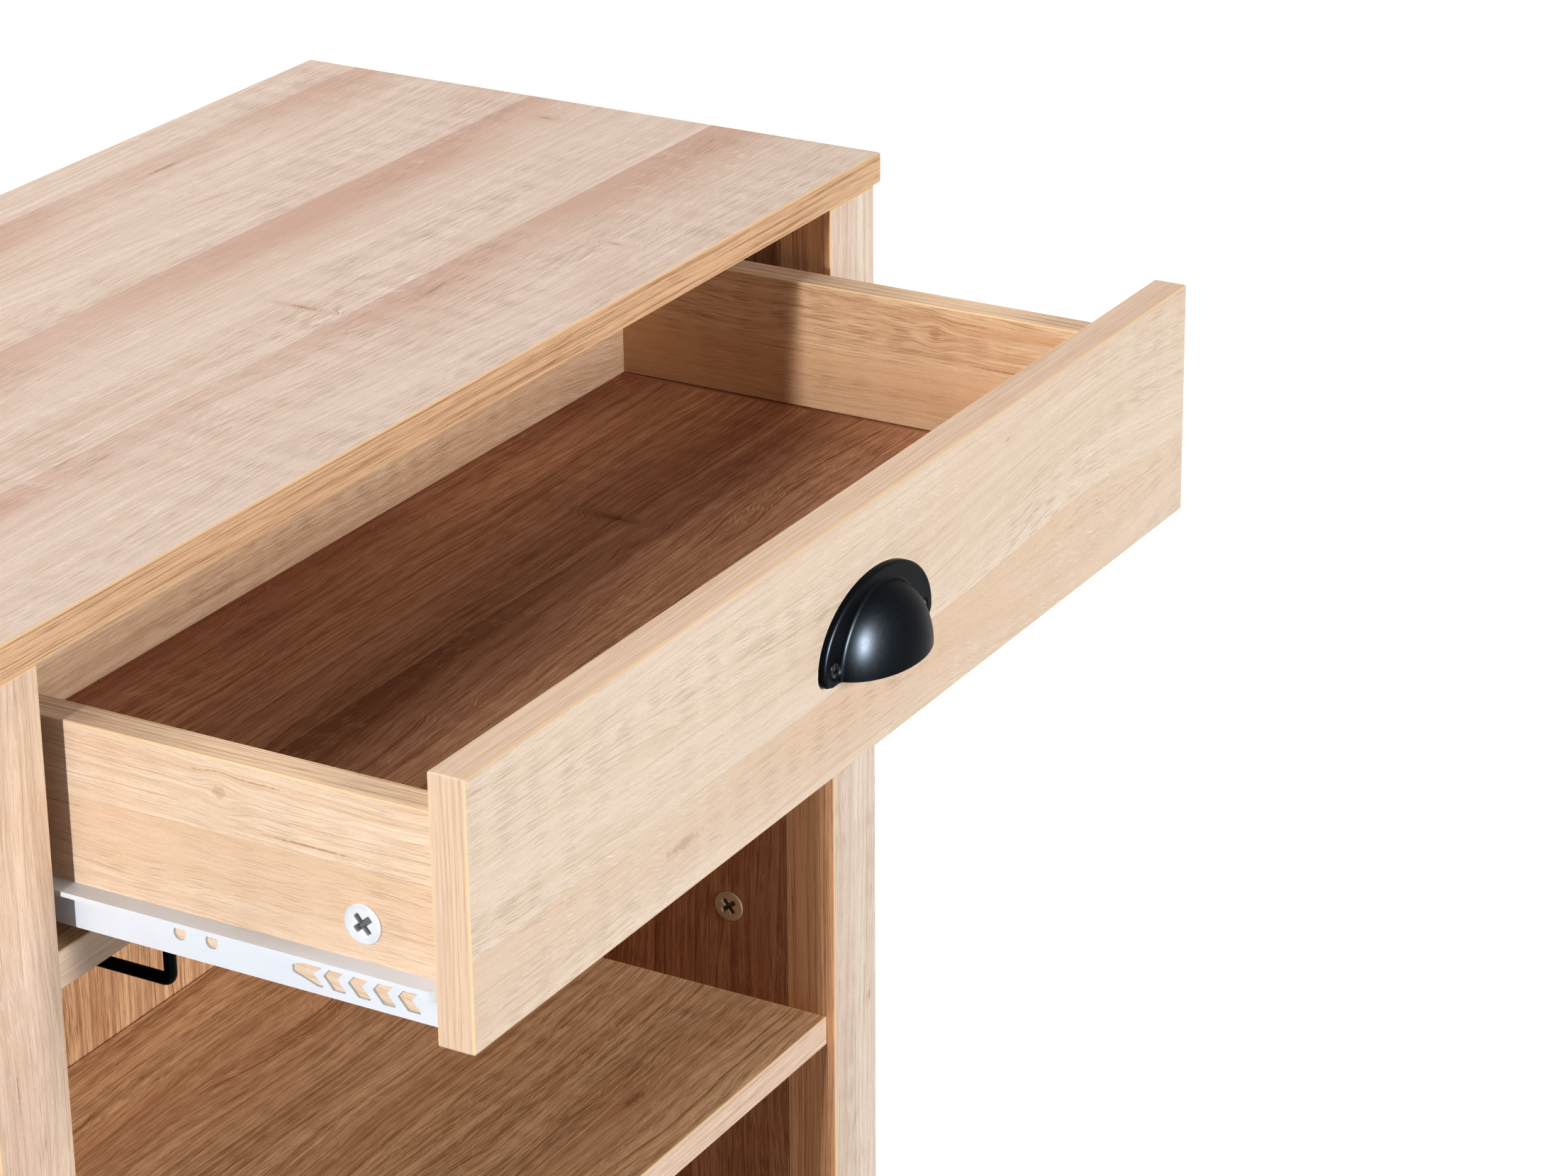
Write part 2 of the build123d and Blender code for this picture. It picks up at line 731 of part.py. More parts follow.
def make_drawer_box():
    """The drawer front, sides, back and bottom with their fastenings."""
    front = plank(
        -front_half,
        front_half,
        front_face_y,
        front_back_y,
        front_bottom,
        front_top,
        front_edge_ease,
    )
    back = plank(
        -side_inner_x, side_inner_x, drawer_back_front, drawer_back_rear, side_bottom, side_top
    )
    groove = block(
        -side_inner_x - drawer_groove_depth - groove_clearance,
        side_inner_x + drawer_groove_depth + groove_clearance,
        front_back_y - drawer_groove_depth - groove_clearance,
        drawer_back_front + drawer_groove_depth + groove_clearance,
        bottom_under - groove_clearance,
        bottom_upper + groove_clearance,
    )
    cams, bolts, dowels, screws = [], [], [], []
    for side, end in ((-1, "left"), (1, "right")):
        rail = plank(
            side * side_inner_x,
            side * side_outer_x,
            front_back_y,
            drawer_back_rear,
            side_bottom,
            side_top,
        )
        lock = drawer_locks(side)
        middle = drawer_side_dowels(side)
        rail -= lock.cam_bore() + dowel_bore(middle, "+y") + groove
        front -= lock.bolt_bore() + dowel_bore(middle, "+y")
        cams.append(lock.cam())
        bolts.append(lock.bolt())
        dowels.append(dowel(middle, "+y"))
        for height in (side_bottom + back_screw_rise, side_top - back_screw_drop):
            fixing, bore = back_screw(side, height)
            rail -= bore
            back -= bore
            screws.append(fixing)
        for place in runner_screw_places:
            seat = (side * (side_outer_x - board / 2), member_front_y + place, member_bottom)
            rail -= screw_bore(seat, "-z")
        parts[f"drawer_side_{end}"] = rail
    for seat in pull_screw_seats():
        front -= rod(pull_screw_radius + screw_clearance, seat, "+y", pull_screw_length)
    parts["drawer_front"] = front - groove
    parts["drawer_back"] = back - groove
    parts["drawer_bottom"] = block(
        -side_inner_x - drawer_groove_depth,
        side_inner_x + drawer_groove_depth,
        front_back_y - drawer_groove_depth,
        drawer_back_front + drawer_groove_depth,
        bottom_under,
        bottom_upper,
    )
    parts["drawer_cams"] = cams
    parts["drawer_cam_bolts"] = bolts
    parts["drawer_dowels"] = dowels
    parts["drawer_back_screws"] = screws


def pull_screw_seats():
    """The top centres of the two pull screws' heads."""
    for side in (-1, 1):
        yield (
            side * pull_screw_spacing / 2,
            front_face_y - pull_flange + pull_screw_sink,
            pull_screw_z,
        )


def pull_outline():
    """The flange seen from the front: a half ellipse on a low straight foot with rounded corners."""
    half = pull_width / 2
    crown = pull_height - pull_shoulder
    arch = Ellipse(half, crown) & Pos(0, crown) * Rectangle(4 * half, 2 * crown)
    foot = Pos(0, -pull_shoulder / 2) * Rectangle(2 * half, pull_shoulder)
    outline = arch + foot
    corners = outline.vertices().group_by(Axis.Y)[0]
    return fillet(corners, pull_corner)


def cup_body(shrink):
    """The ellipsoid that the cup is a quarter of, drawn in by the wall for its hollow."""
    a = cup_half_width - shrink
    b = pull_projection - shrink
    c = cup_height - shrink
    return scale(Sphere(1), by=(a, b, c))


def make_pull():
    """The cup pull and its two screws."""
    plane = Plane(
        origin=(0, front_face_y, pull_bottom + pull_shoulder), x_dir=(1, 0, 0), z_dir=(0, -1, 0)
    )
    flange = extrude(plane * pull_outline(), pull_flange)
    flange = fillet(flange.faces().sort_by(Axis.Y)[0].edges(), pull_flange_round)
    reach = front_face_y - 2 * pull_projection
    above = pull_top + pull_height
    below = pull_bottom - pull_height
    room = block(-pull_width, pull_width, reach, front_face_y, pull_bottom, above)
    finger_room = block(-pull_width, pull_width, reach, front_face_y + cup_wall, below, above)
    foot = Pos(0, front_face_y, pull_bottom)
    pull = flange + (foot * cup_body(0) & room) - (foot * cup_body(cup_wall) & finger_room)
    screws = []
    bore_radius = pull_screw_head_radius + pull_screw_head_clearance
    sizes = (pull_screw_cross_length, pull_screw_cross_width, pull_screw_cross_depth)
    for seat in pull_screw_seats():
        sink = step_along(seat, "-y", pull_screw_sink)
        pull -= rod(bore_radius, sink, "+y", pull_screw_sink + pull_screw_head_depth)
        pull -= rod(pull_screw_radius + screw_clearance, sink, "+y", pull_flange)
        head = rod(pull_screw_head_radius, seat, "+y", pull_screw_head_depth - screw_clearance)
        head = chamfer(head.edges().sort_by(Axis.Y)[0], pull_screw_head_chamfer)
        head += rod(pull_screw_radius, seat, "+y", pull_screw_length - pull_screw_end_clearance)
        screws.append(head - cross_cut(seat, "-y", *sizes))
    parts["cup_pull"] = pull
    parts["pull_screws"] = screws


def wire(points):
    """Round bar bent along a line of points."""
    path = FilletPolyline(*points, radius=rail_bend)
    start = Plane(origin=path @ 0, z_dir=path % 0)
    return sweep(start * Circle(rail_wire / 2), path=path)


def rail_plate(x, y):
    """The round-ended plate on top of a rail's leg."""
    outline = SlotOverall(rail_plate_length, rail_plate_width)
    return extrude(Pos(x, y, rail_plate_under) * outline, rail_plate_thickness)


def make_hanging_rail(x):
    """A wire bent down, back and up again, with a plate on each leg, and the plates' screws."""
    front, back = rail_front_setback, rail_back_setback
    top = rail_plate_under + rail_plate_thickness / 2
    points = [(x, front, top), (x, front, rail_wire_z), (x, back, rail_wire_z), (x, back, top)]
    rail = wire(points)
    screws = []
    for y in (front, back):
        rail += rail_plate(x, y)
        for shift in (-rail_screw_offset, rail_screw_offset):
            seat = (x + shift, y, rail_plate_under)
            rail -= screw_bore(seat, "-z")
            parts["drawer_divider"] -= screw_bore(seat, "-z")
            screws.append(screw(seat, "-z"))
    return rail, screws


def make_hanging_rails():
    """The rails in a row, evenly spread across the middle bay."""
    parts["rail_screws"] = []
    for place, name in ((-1, "left"), (0, "middle"), (1, "right")):
        rail, screws = make_hanging_rail(place * rail_span)
        parts[f"hanging_rail_{name}"] = rail
        parts["rail_screws"] += screws


def write_parts():
    """Moves every piece to the part's own origin and writes one file for each node."""
    os.makedirs("parts", exist_ok=True)
    home = Location((0, -middle_y, 0))
    for name, made in parts.items():
        solids = made if isinstance(made, list) else [made]
        placed = [home * solid for solid in solids]
        flat = [one for shape in placed for one in shape.solids()]
        whole = flat[0] if len(flat) == 1 else Compound(children=flat)
        export_step(whole, f"parts/{name}.step")


make_carcass_boards()
make_back_panel()
make_glides()
make_cabinet_runners()
make_drawer_runners()
make_drawer_box()
make_pull()
make_hanging_rails()
write_parts()
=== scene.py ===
"""Looks for the light oak sideboard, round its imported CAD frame. Metres, X right, Y back, Z up."""

import math

import bpy
import numpy as np
from mathutils import Matrix, Vector


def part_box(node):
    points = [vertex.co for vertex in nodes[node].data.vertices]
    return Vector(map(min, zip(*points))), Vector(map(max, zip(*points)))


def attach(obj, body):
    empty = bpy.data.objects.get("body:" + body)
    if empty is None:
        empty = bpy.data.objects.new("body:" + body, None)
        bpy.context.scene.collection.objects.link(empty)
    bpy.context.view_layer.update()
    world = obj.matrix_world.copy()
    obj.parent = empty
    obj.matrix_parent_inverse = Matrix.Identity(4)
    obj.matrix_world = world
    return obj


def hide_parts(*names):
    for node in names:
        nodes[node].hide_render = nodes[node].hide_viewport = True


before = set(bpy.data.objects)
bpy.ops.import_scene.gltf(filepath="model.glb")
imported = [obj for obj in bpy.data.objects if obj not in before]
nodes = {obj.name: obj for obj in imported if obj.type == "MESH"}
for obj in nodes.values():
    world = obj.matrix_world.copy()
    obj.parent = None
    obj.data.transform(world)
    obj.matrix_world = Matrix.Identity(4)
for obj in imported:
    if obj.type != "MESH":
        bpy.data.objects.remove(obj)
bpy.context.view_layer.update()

scene = bpy.context.scene
MM = 0.001


# ---- colours ----


def paint(red, green, blue):
    """A colour given on the 0 to 255 scale, as the linear value that a socket takes."""
    parts = []
    for value in (red, green, blue):
        share = value / 255
        low = share / 12.92
        high = ((share + 0.055) / 1.055) ** 2.4
        parts.append(low if share <= 0.04045 else high)
    return (*parts, 1.0)


# ---- node trees ----


class Net:
    """A node tree with short ways to add nodes and join them."""

    def __init__(self, tree):
        self.tree = tree

    def add(self, kind, *values, **settings):
        """A node with its first inputs joined or set in order, and its settings."""
        node = self.tree.nodes.new("ShaderNode" + kind)
        for name, value in settings.items():
            setattr(node, name, value)
        for socket, value in zip(node.inputs, values):
            self.feed(socket, value)
        return node

    def feed(self, socket, value):
        """Joins a socket to another, or sets its value."""
        if isinstance(value, bpy.types.NodeSocket):
            self.tree.links.new(value, socket)
        elif value is not None:
            socket.default_value = value

    def math(self, operation, *values, clamp=False):
        return self.add("Math", *values, operation=operation, use_clamp=clamp).outputs[0]

    def vector(self, x, y, z):
        return self.add("CombineXYZ", x, y, z).outputs[0]

    def split(self, vector):
        return self.add("SeparateXYZ", vector).outputs[:3]

    def ramp(self, value, low, high, out_low=0.0, out_high=1.0):
        """The value carried from one range to another, with a smooth start and end."""
        node = self.add("MapRange", interpolation_type="SMOOTHSTEP")
        for socket, one in zip(node.inputs[:5], (value, low, high, out_low, out_high)):
            self.feed(socket, one)
        return node.outputs[0]

    def noise(self, vector, scale=1.0, detail=2.0, roughness=0.5):
        node = self.add("TexNoise", noise_dimensions="3D")
        names = ("Vector", "Scale", "Detail", "Roughness")
        for name, value in zip(names, (vector, scale, detail, roughness)):
            self.feed(node.inputs[name], value)
        return node.outputs["Fac"]

    def blend(self, share, first, second, way="MIX"):
        """Two colours mixed by a share."""
        node = self.add("Mix", data_type="RGBA", blend_type=way, clamp_factor=True)
        self.feed(node.inputs[0], share)
        self.feed(node.inputs[6], first)
        self.feed(node.inputs[7], second)
        return node.outputs[2]


def new_group(name, inputs, outputs):
    """An empty shader group with its named sockets, as (net, inputs by name, output node)."""
    tree = bpy.data.node_groups.new(name, "ShaderNodeTree")
    kinds = {"value": "NodeSocketFloat", "vector": "NodeSocketVector", "colour": "NodeSocketColor"}
    for socket, (kind, start) in inputs.items():
        made = tree.interface.new_socket(socket, in_out="INPUT", socket_type=kinds[kind])
        made.default_value = start
    for socket, kind in outputs.items():
        tree.interface.new_socket(socket, in_out="OUTPUT", socket_type=kinds[kind])
    net = Net(tree)
    source = tree.nodes.new("NodeGroupInput")
    target = tree.nodes.new("NodeGroupOutput")
    return net, {s.name: s for s in source.outputs if s.name}, target


def place_group(net, group, values):
    """A group node with its inputs joined or set by name."""
    node = net.tree.nodes.new("ShaderNodeGroup")
    node.node_tree = group
    for name, value in values.items():
        net.feed(node.inputs[name], value)
    return node


# ---- the oak print ----

OAK = {
    "Pale": paint(229, 212, 197),
    "Mid": paint(198, 173, 152),
    "Streak": paint(198, 162, 141),
    "Pore": paint(142, 110, 90),
    "Fleck": paint(240, 226, 212),
}
PLAIN = {
    "Seed": 0.0,
    "Warp": 1.0,
    "Planks": 1.0,
    "Plank Start": 0.0,
    "Figure": 1.0,
    "Pores": 1.0,
    "Flecks": 1.0,
}

# The width of a printed plank, how far apart two planks lie in the noise, growth lines per metre,
# how near an edge the banding and the glue line lie, and the print's relief and gloss.
PRINTED_PLANK = 0.106
PLANK_JUMP = 7.31
GROWTH_LINES = 260.0
BAND_EDGE = (0.00015, 0.00045)
GLUE_EDGE = (0.0005, 0.0010)
OAK_RELIEF = 0.00012
OAK_GLOSS = 0.1


def print_inputs():
    """The sockets that the print and the board share."""
    values = {name: ("value", start) for name, start in PLAIN.items()}
    colours = {name: ("colour", start) for name, start in OAK.items()}
    return {"Vector": ("vector", (0, 0, 0)), **values, **colours}


def make_oak_print():
    """The wood print. X of its vector runs along the grain and Y across it, in metres.

    The planks of the print are 106 mm wide, and each has its own part of the noise. A plank starts,
    on its high side, with a darker streak that fades away. Growth lines are the level lines of a
    slope across the grain, bent and broken up by noise. Bands and fibres are noise drawn out along
    the grain. Pores are scattered cells drawn out to dashes, crowded in some places, and flecks are
    pale strokes that cross the grain one way here and the other way there.
    """
    net, start, end = new_group(
        "oak_print",
        print_inputs(),
        {"Color": "colour", "Height": "value", "Roughness": "value"},
    )
    x, y, z = net.split(start["Vector"])
    seed = start["Seed"]
    deep = net.math("ADD", z, seed)

    def field(along, across, shift, level=y, **kind):
        """Noise whose features are 1/along metres long and 1/across metres wide."""
        wide = net.math("MULTIPLY", level, across)
        return net.noise(
            net.vector(net.math("MULTIPLY", x, along), wide, net.math("ADD", deep, shift)), **kind
        )

    slow = net.math("SUBTRACT", field(1.6, 9.0, 0.0, detail=2.0), 0.5)
    quick = net.math("SUBTRACT", field(16.0, 45.0, 4.1, detail=1.0), 0.5)
    bend = net.math("ADD", net.math("MULTIPLY", slow, 0.06), net.math("MULTIPLY", quick, 0.0045))
    warped = net.math("MULTIPLY_ADD", bend, start["Warp"], y)

    # planks of the print
    near = net.math("MULTIPLY_ADD", quick, 0.0008, y)
    count = net.math("DIVIDE", net.math("SUBTRACT", start["Plank Start"], near), PRINTED_PLANK)
    number = net.math("FLOOR", count)
    part = net.math("FRACT", count)
    plank_shift = net.math("MULTIPLY", number, PLANK_JUMP)
    own = net.math("ADD", warped, plank_shift)
    lift = net.noise(
        net.vector(net.math("MULTIPLY", x, 2.4), plank_shift, deep), detail=2.0, roughness=0.6
    )
    fade = net.ramp(part, 0.0, net.math("MULTIPLY_ADD", lift, 0.9, 0.05), 1.0, 0.0)
    streak = net.math("MULTIPLY", fade, net.ramp(lift, 0.3, 0.62, 0.4, 1.0))
    rosy = net.ramp(field(5.0, 26.0, 9.7, detail=3.0, roughness=0.6), 0.5, 0.78)
    streak = net.math("MULTIPLY_ADD", rosy, 0.4, streak)
    streak = net.math("MULTIPLY", streak, start["Planks"], clamp=True)

    # growth lines and fibres, each plank of the print with its own
    waver = field(3.0, 55.0, 1.3, level=own, detail=2.0)
    slope = net.math("MULTIPLY_ADD", waver, 5.0, net.math("MULTIPLY", own, GROWTH_LINES))
    saw = net.math("ABSOLUTE", net.math("SUBTRACT", net.math("FRACT", slope), 0.5))
    broken = net.ramp(field(9.0, 300.0, 2.2, level=own, detail=3.0), 0.42, 0.62)
    lines = net.math("MULTIPLY", net.ramp(saw, 0.01, 0.09, 1.0, 0.0), broken)
    band = net.ramp(field(3.4, 250.0, 6.1, level=own, detail=5.0, roughness=0.6), 0.36, 0.68)
    fibre = net.ramp(field(52.0, 1500.0, 2.9, level=own, detail=3.0, roughness=0.7), 0.37, 0.66)
    wide = net.ramp(field(2.2, 34.0, 5.3, level=own, detail=3.0), 0.36, 0.7)
    mixed = net.math("MULTIPLY", band, 0.38)
    mixed = net.math("MULTIPLY_ADD", fibre, 0.42, mixed)
    mixed = net.math("MULTIPLY_ADD", wide, 0.16, mixed)
    mixed = net.math("MULTIPLY_ADD", lines, 0.75, mixed)
    mixed = net.math("MULTIPLY", mixed, start["Figure"], clamp=True)

    def strokes(along, across, lean, shift, thin, share, level=own):
        """Scattered dashes that lean from the grain, each an ellipse round a cell's point."""
        side = net.math("MULTIPLY_ADD", x, lean, level)
        vector = net.vector(
            net.math("MULTIPLY_ADD", x, along, net.math("MULTIPLY_ADD", seed, 3.7, shift)),
            net.math("MULTIPLY", side, across),
            0.0,
        )
        node = net.add("TexVoronoi", voronoi_dimensions="2D", feature="F1")
        net.feed(node.inputs["Vector"], vector)
        node.inputs["Scale"].default_value = 1.0
        picked = net.math("GREATER_THAN", net.split(node.outputs["Color"])[0], share)
        spot = net.ramp(node.outputs["Distance"], thin * 0.5, thin, 1.0, 0.0)
        return net.math("MULTIPLY", spot, picked)

    # pores, crowded in some places
    crowd = net.ramp(field(5.0, 30.0, 6.6, level=own, detail=3.0), 0.40, 0.64, 0.08, 1.0)
    short = strokes(48.0, 1700.0, 0.05, 3.3, 0.30, 0.5)
    long = strokes(17.0, 900.0, -0.03, 8.8, 0.22, 0.55)
    pores = net.math("MULTIPLY", net.math("MAXIMUM", short, long), crowd)
    pores = net.math("MULTIPLY", pores, start["Pores"], clamp=True)

    # flecks, leaning one way in high patches of the noise and the other way in low ones
    patch = field(9.0, 24.0, 7.4, detail=3.0, roughness=0.6)
    rising = strokes(62.0, 1100.0, 0.16, 1.7, 0.22, 0.5, level=warped)
    falling = strokes(50.0, 1200.0, -0.24, 5.2, 0.20, 0.5, level=warped)
    rising = net.math("MULTIPLY", rising, net.ramp(patch, 0.50, 0.66))
    falling = net.math("MULTIPLY", falling, net.ramp(patch, 0.34, 0.48, 1.0, 0.0))
    flecks = net.math("MAXIMUM", rising, falling)
    flecks = net.math("MULTIPLY", flecks, start["Flecks"], clamp=True)

    # colour, relief and gloss
    colour = net.blend(mixed, start["Pale"], start["Mid"])
    colour = net.blend(net.math("MULTIPLY", streak, 0.8), colour, start["Streak"])
    colour = net.blend(net.math("MULTIPLY", flecks, 0.7), colour, start["Fleck"])
    colour = net.blend(net.math("MULTIPLY", pores, 0.55), colour, start["Pore"])
    grit = net.noise(
        net.vector(net.math("MULTIPLY", x, 420.0), net.math("MULTIPLY", y, 2100.0), deep)
    )
    shine = net.add("VectorMath", colour, operation="SCALE")
    net.feed(shine.inputs["Scale"], net.math("MULTIPLY_ADD", grit, 0.24, 0.88))
    height = net.math("MULTIPLY_ADD", fibre, -0.3, net.math("MULTIPLY", pores, -1.0))
    height = net.math("MULTIPLY_ADD", lines, -0.5, height)
    height = net.math("MULTIPLY_ADD", grit, 0.5, height)
    height = net.math("MULTIPLY_ADD", flecks, 0.4, height)
    rough = net.math("MULTIPLY_ADD", mixed, 0.08, 0.44)
    rough = net.math("MULTIPLY_ADD", pores, 0.2, rough)
    net.feed(end.inputs["Color"], shine.outputs[0])
    net.feed(end.inputs["Height"], height)
    net.feed(end.inputs["Roughness"], rough)
    return net.tree


def make_oak_knot():
    """A knot or crack: a dark ragged ellipse with a halo, and the grain led round it.

    Distance is measured in half sizes of the ellipse, and noise roughens the dark part's outline.
    The print is looked up nearer the knot's own line, so that its lines spread apart round the knot
    and close again behind it.
    """
    net, start, end = new_group(
        "oak_knot",
        {
            "Vector": ("vector", (0, 0, 0)),
            "Place": ("vector", (0, 0, 0)),
            "Size": ("vector", (0.004, 0.002, 1.0)),
            "Strength": ("value", 1.0),
            "Dark": ("value", 0.0),
            "Halo": ("value", 0.0),
        },
        {"Vector": "vector", "Dark": "value", "Halo": "value"},
    )
    x, y, z = net.split(start["Vector"])
    offset = net.add("VectorMath", start["Vector"], start["Place"], operation="SUBTRACT").outputs[0]
    share = net.add("VectorMath", offset, start["Size"], operation="DIVIDE").outputs[0]
    along, across, _ = net.split(share)
    _, high, _ = net.split(offset)
    ragged = net.noise(offset, scale=420.0, detail=3.0)
    flat = net.vector(along, across, 0.0)
    far = net.add("VectorMath", flat, operation="LENGTH").outputs["Value"]
    distance = net.math("MULTIPLY_ADD", net.math("SUBTRACT", ragged, 0.5), 1.5, far)
    core = net.math("MULTIPLY", net.ramp(distance, 0.3, 1.0, 1.0, 0.0), start["Strength"])
    halo = net.math("MULTIPLY", net.ramp(far, 0.6, 3.2, 1.0, 0.0), start["Strength"])
    pull = net.math("MULTIPLY", net.ramp(far, 0.0, 3.0, 0.7, 0.0), high)
    net.feed(end.inputs["Vector"], net.vector(x, net.math("SUBTRACT", y, pull), z))
    net.feed(end.inputs["Dark"], net.math("MAXIMUM", core, start["Dark"]))
    net.feed(end.inputs["Halo"], net.math("MAXIMUM", halo, start["Halo"]))
    return net.tree


def make_oak_board(oak_print):
    """A whole board: the print on its two faces, banding with straight grain round its edges.

    X of its vector runs along the grain, Y across the face and Z through the thickness, all from
    the board's middle. A point belongs to the banding where it lies at an edge plane. The glue line
    shows as a pale thread where face and banding meet. Shade is painted shade: a tint that darkens
    the faces that look inwards, those on the side that Shaded Side names by its sign, or both at 0.
    """
    net, start, end = new_group(
        "oak_board",
        {
            **print_inputs(),
            "Print Vector": ("vector", (0, 0, 0)),
            "Dark": ("value", 0.0),
            "Halo": ("value", 0.0),
            "Half Size": ("vector", (0.3, 0.1, 0.008)),
            "Banded": ("value", 1.0),
            "Band Pale": ("colour", paint(219, 182, 145)),
            "Band Dark": ("colour", paint(148, 102, 66)),
            "Thread": ("colour", paint(229, 194, 150)),
            "Shade": ("colour", (1.0, 1.0, 1.0, 1.0)),
            "Shaded Side": ("value", 0.0),
        },
        {"Color": "colour", "Height": "value", "Roughness": "value"},
    )
    x, y, z = net.split(start["Vector"])
    half_x, half_y, half_z = net.split(start["Half Size"])
    end_gap = net.math("SUBTRACT", half_x, net.math("ABSOLUTE", x))
    side_gap = net.math("SUBTRACT", half_y, net.math("ABSOLUTE", y))
    face_gap = net.math("SUBTRACT", half_z, net.math("ABSOLUTE", z))
    on_end = net.math("LESS_THAN", end_gap, side_gap)
    nearest = net.math("MINIMUM", end_gap, side_gap)
    band = net.math("MULTIPLY", net.ramp(nearest, *BAND_EDGE, 1.0, 0.0), start["Banded"])
    thread = net.ramp(net.math("MAXIMUM", nearest, face_gap), *GLUE_EDGE, 1.0, 0.0)
    thread = net.math("MULTIPLY", thread, start["Banded"])

    shared = {name: start[name] for name in (*PLAIN, *OAK)}
    face = place_group(net, oak_print, {"Vector": start["Print Vector"], **shared})
    halo = net.math("MULTIPLY", start["Halo"], 0.6)
    plain = net.blend(halo, face.outputs["Color"], start["Streak"])
    plain = net.blend(net.math("MULTIPLY", start["Dark"], 0.8), plain, start["Pore"])
    pick = net.add("Mix", data_type="FLOAT")
    for socket, value in zip((0, 2, 3), (on_end, x, y)):
        net.feed(pick.inputs[socket], value)
    along = pick.outputs[0]
    wave = net.noise(
        net.vector(net.math("MULTIPLY", along, 9.0), net.math("MULTIPLY", z, 60.0), start["Seed"])
    )
    level = net.math("MULTIPLY_ADD", wave, 0.004, z)
    lines = net.noise(
        net.vector(
            net.math("MULTIPLY", along, 7.0),
            net.math("MULTIPLY", level, 900.0),
            net.math("ADD", start["Seed"], 1.0),
        ),
        detail=4.0,
        roughness=0.65,
    )
    lines = net.ramp(lines, 0.42, 0.64)
    threads = net.noise(
        net.vector(
            net.math("MULTIPLY", along, 60.0),
            net.math("MULTIPLY", level, 2600.0),
            net.math("ADD", start["Seed"], 3.0),
        )
    )
    threads = net.ramp(threads, 0.5, 0.68)
    dark = net.math("MULTIPLY_ADD", threads, 0.4, net.math("MULTIPLY", lines, 0.62), clamp=True)
    band_colour = net.blend(dark, start["Band Pale"], start["Band Dark"])

    side = net.math("MULTIPLY", z, start["Shaded Side"])
    inward = net.math("GREATER_THAN", side, -0.000001)
    shaded = net.blend(inward, plain, start["Shade"], "MULTIPLY")
    colour = net.blend(band, shaded, band_colour)
    colour = net.blend(net.math("MULTIPLY", thread, 0.8), colour, start["Thread"])
    height = net.math("MULTIPLY", face.outputs["Height"], net.math("SUBTRACT", 1.0, band))
    height = net.math("MULTIPLY_ADD", net.math("MULTIPLY", threads, band), -0.6, height)
    rough = net.math("MULTIPLY_ADD", band, 0.04, face.outputs["Roughness"])
    net.feed(end.inputs["Color"], colour)
    net.feed(end.inputs["Height"], height)
    net.feed(end.inputs["Roughness"], rough)
    return net.tree


oak_board = make_oak_board(make_oak_print())
oak_knot = make_oak_knot()


def new_material(name):
    """An empty node material, as (material, net, its shader)."""
    material = bpy.data.materials.new(name)
    material.use_nodes = True
    tree = material.node_tree
    tree.nodes.clear()
    net = Net(tree)
    shader = net.add("BsdfPrincipled")
    out = net.add("OutputMaterial")
    tree.links.new(shader.outputs[0], out.inputs["Surface"])
    return material, net, shader


def bumped(net, shader, height, distance, strength=1.0):
    """Feeds a height through a Bump node to the shader's normal."""
    bump = net.add("Bump")
    bump.inputs["Strength"].default_value = strength
    bump.inputs["Distance"].default_value = distance
    net.feed(bump.inputs["Height"], height)
    net.feed(shader.inputs["Normal"], bump.outputs[0])


def dress(node, material):
    """Puts one material on a CAD node."""
    slots = nodes[node].data.materials
    slots.clear()
    slots.append(material)


AXES = {"x": 0, "y": 1, "z": 2}


def oak_material(node, grain, across, through, knots=(), **values):
    """The board material of one node. grain, across and through name the axes of the board.

    A knot is its place along and across the board from the middle, its half sizes the same way, and
    how dark it is, in millimetres and from 0 to 1.
    """
    low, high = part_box(node)
    middle = (low + high) / 2
    half = (high - low) / 2
    material, net, shader = new_material(node + "_oak")
    place = net.add("TexCoord").outputs["Object"]
    parts = net.split(net.add("VectorMath", place, tuple(middle), operation="SUBTRACT").outputs[0])
    order = [AXES[one] for one in (grain, across, through)]
    local = net.vector(*(parts[one] for one in order))
    led = {"Vector": local}
    for along, side, length, width, strength in knots:
        knot = place_group(
            net,
            oak_knot,
            {
                **led,
                "Place": (along * MM, side * MM, 0.0),
                "Size": (length * MM, width * MM, 1.0),
                "Strength": strength,
            },
        )
        led = {name: knot.outputs[name] for name in ("Vector", "Dark", "Halo")}
    led["Print Vector"] = led.pop("Vector")
    board = place_group(
        net,
        oak_board,
        {
            "Vector": local,
            **led,
            "Half Size": tuple(half[one] for one in order),
            **values,
        },
    )
    net.feed(shader.inputs["Base Color"], board.outputs["Color"])
    net.feed(shader.inputs["Roughness"], board.outputs["Roughness"])
    shader.inputs["Specular IOR Level"].default_value = OAK_GLOSS
    bumped(net, shader, board.outputs["Height"], OAK_RELIEF, 0.6)
    dress(node, material)


# Painted shade: tints multiplied over the faces of boards that look inwards, standing in for the
# shade that falls inside the cabinet and the drawer.
PAINTED_SHADE_PANELS = (0.52, 0.32, 0.20, 1.0)
PAINTED_SHADE_SHELVES = (1.0, 0.80, 0.56, 1.0)
PAINTED_SHADE_REAR_PANEL = (0.90, 0.71, 0.50, 1.0)
PAINTED_SHADE_DRAWER_BOTTOM = (0.80, 0.52, 0.365, 1.0)
PAINTED_SHADE_DRAWER_SIDES = (0.92, 0.81, 0.68, 1.0)
PAINTED_SHADE_DRAWER_BACK = (1.0, 0.96, 0.90, 1.0)
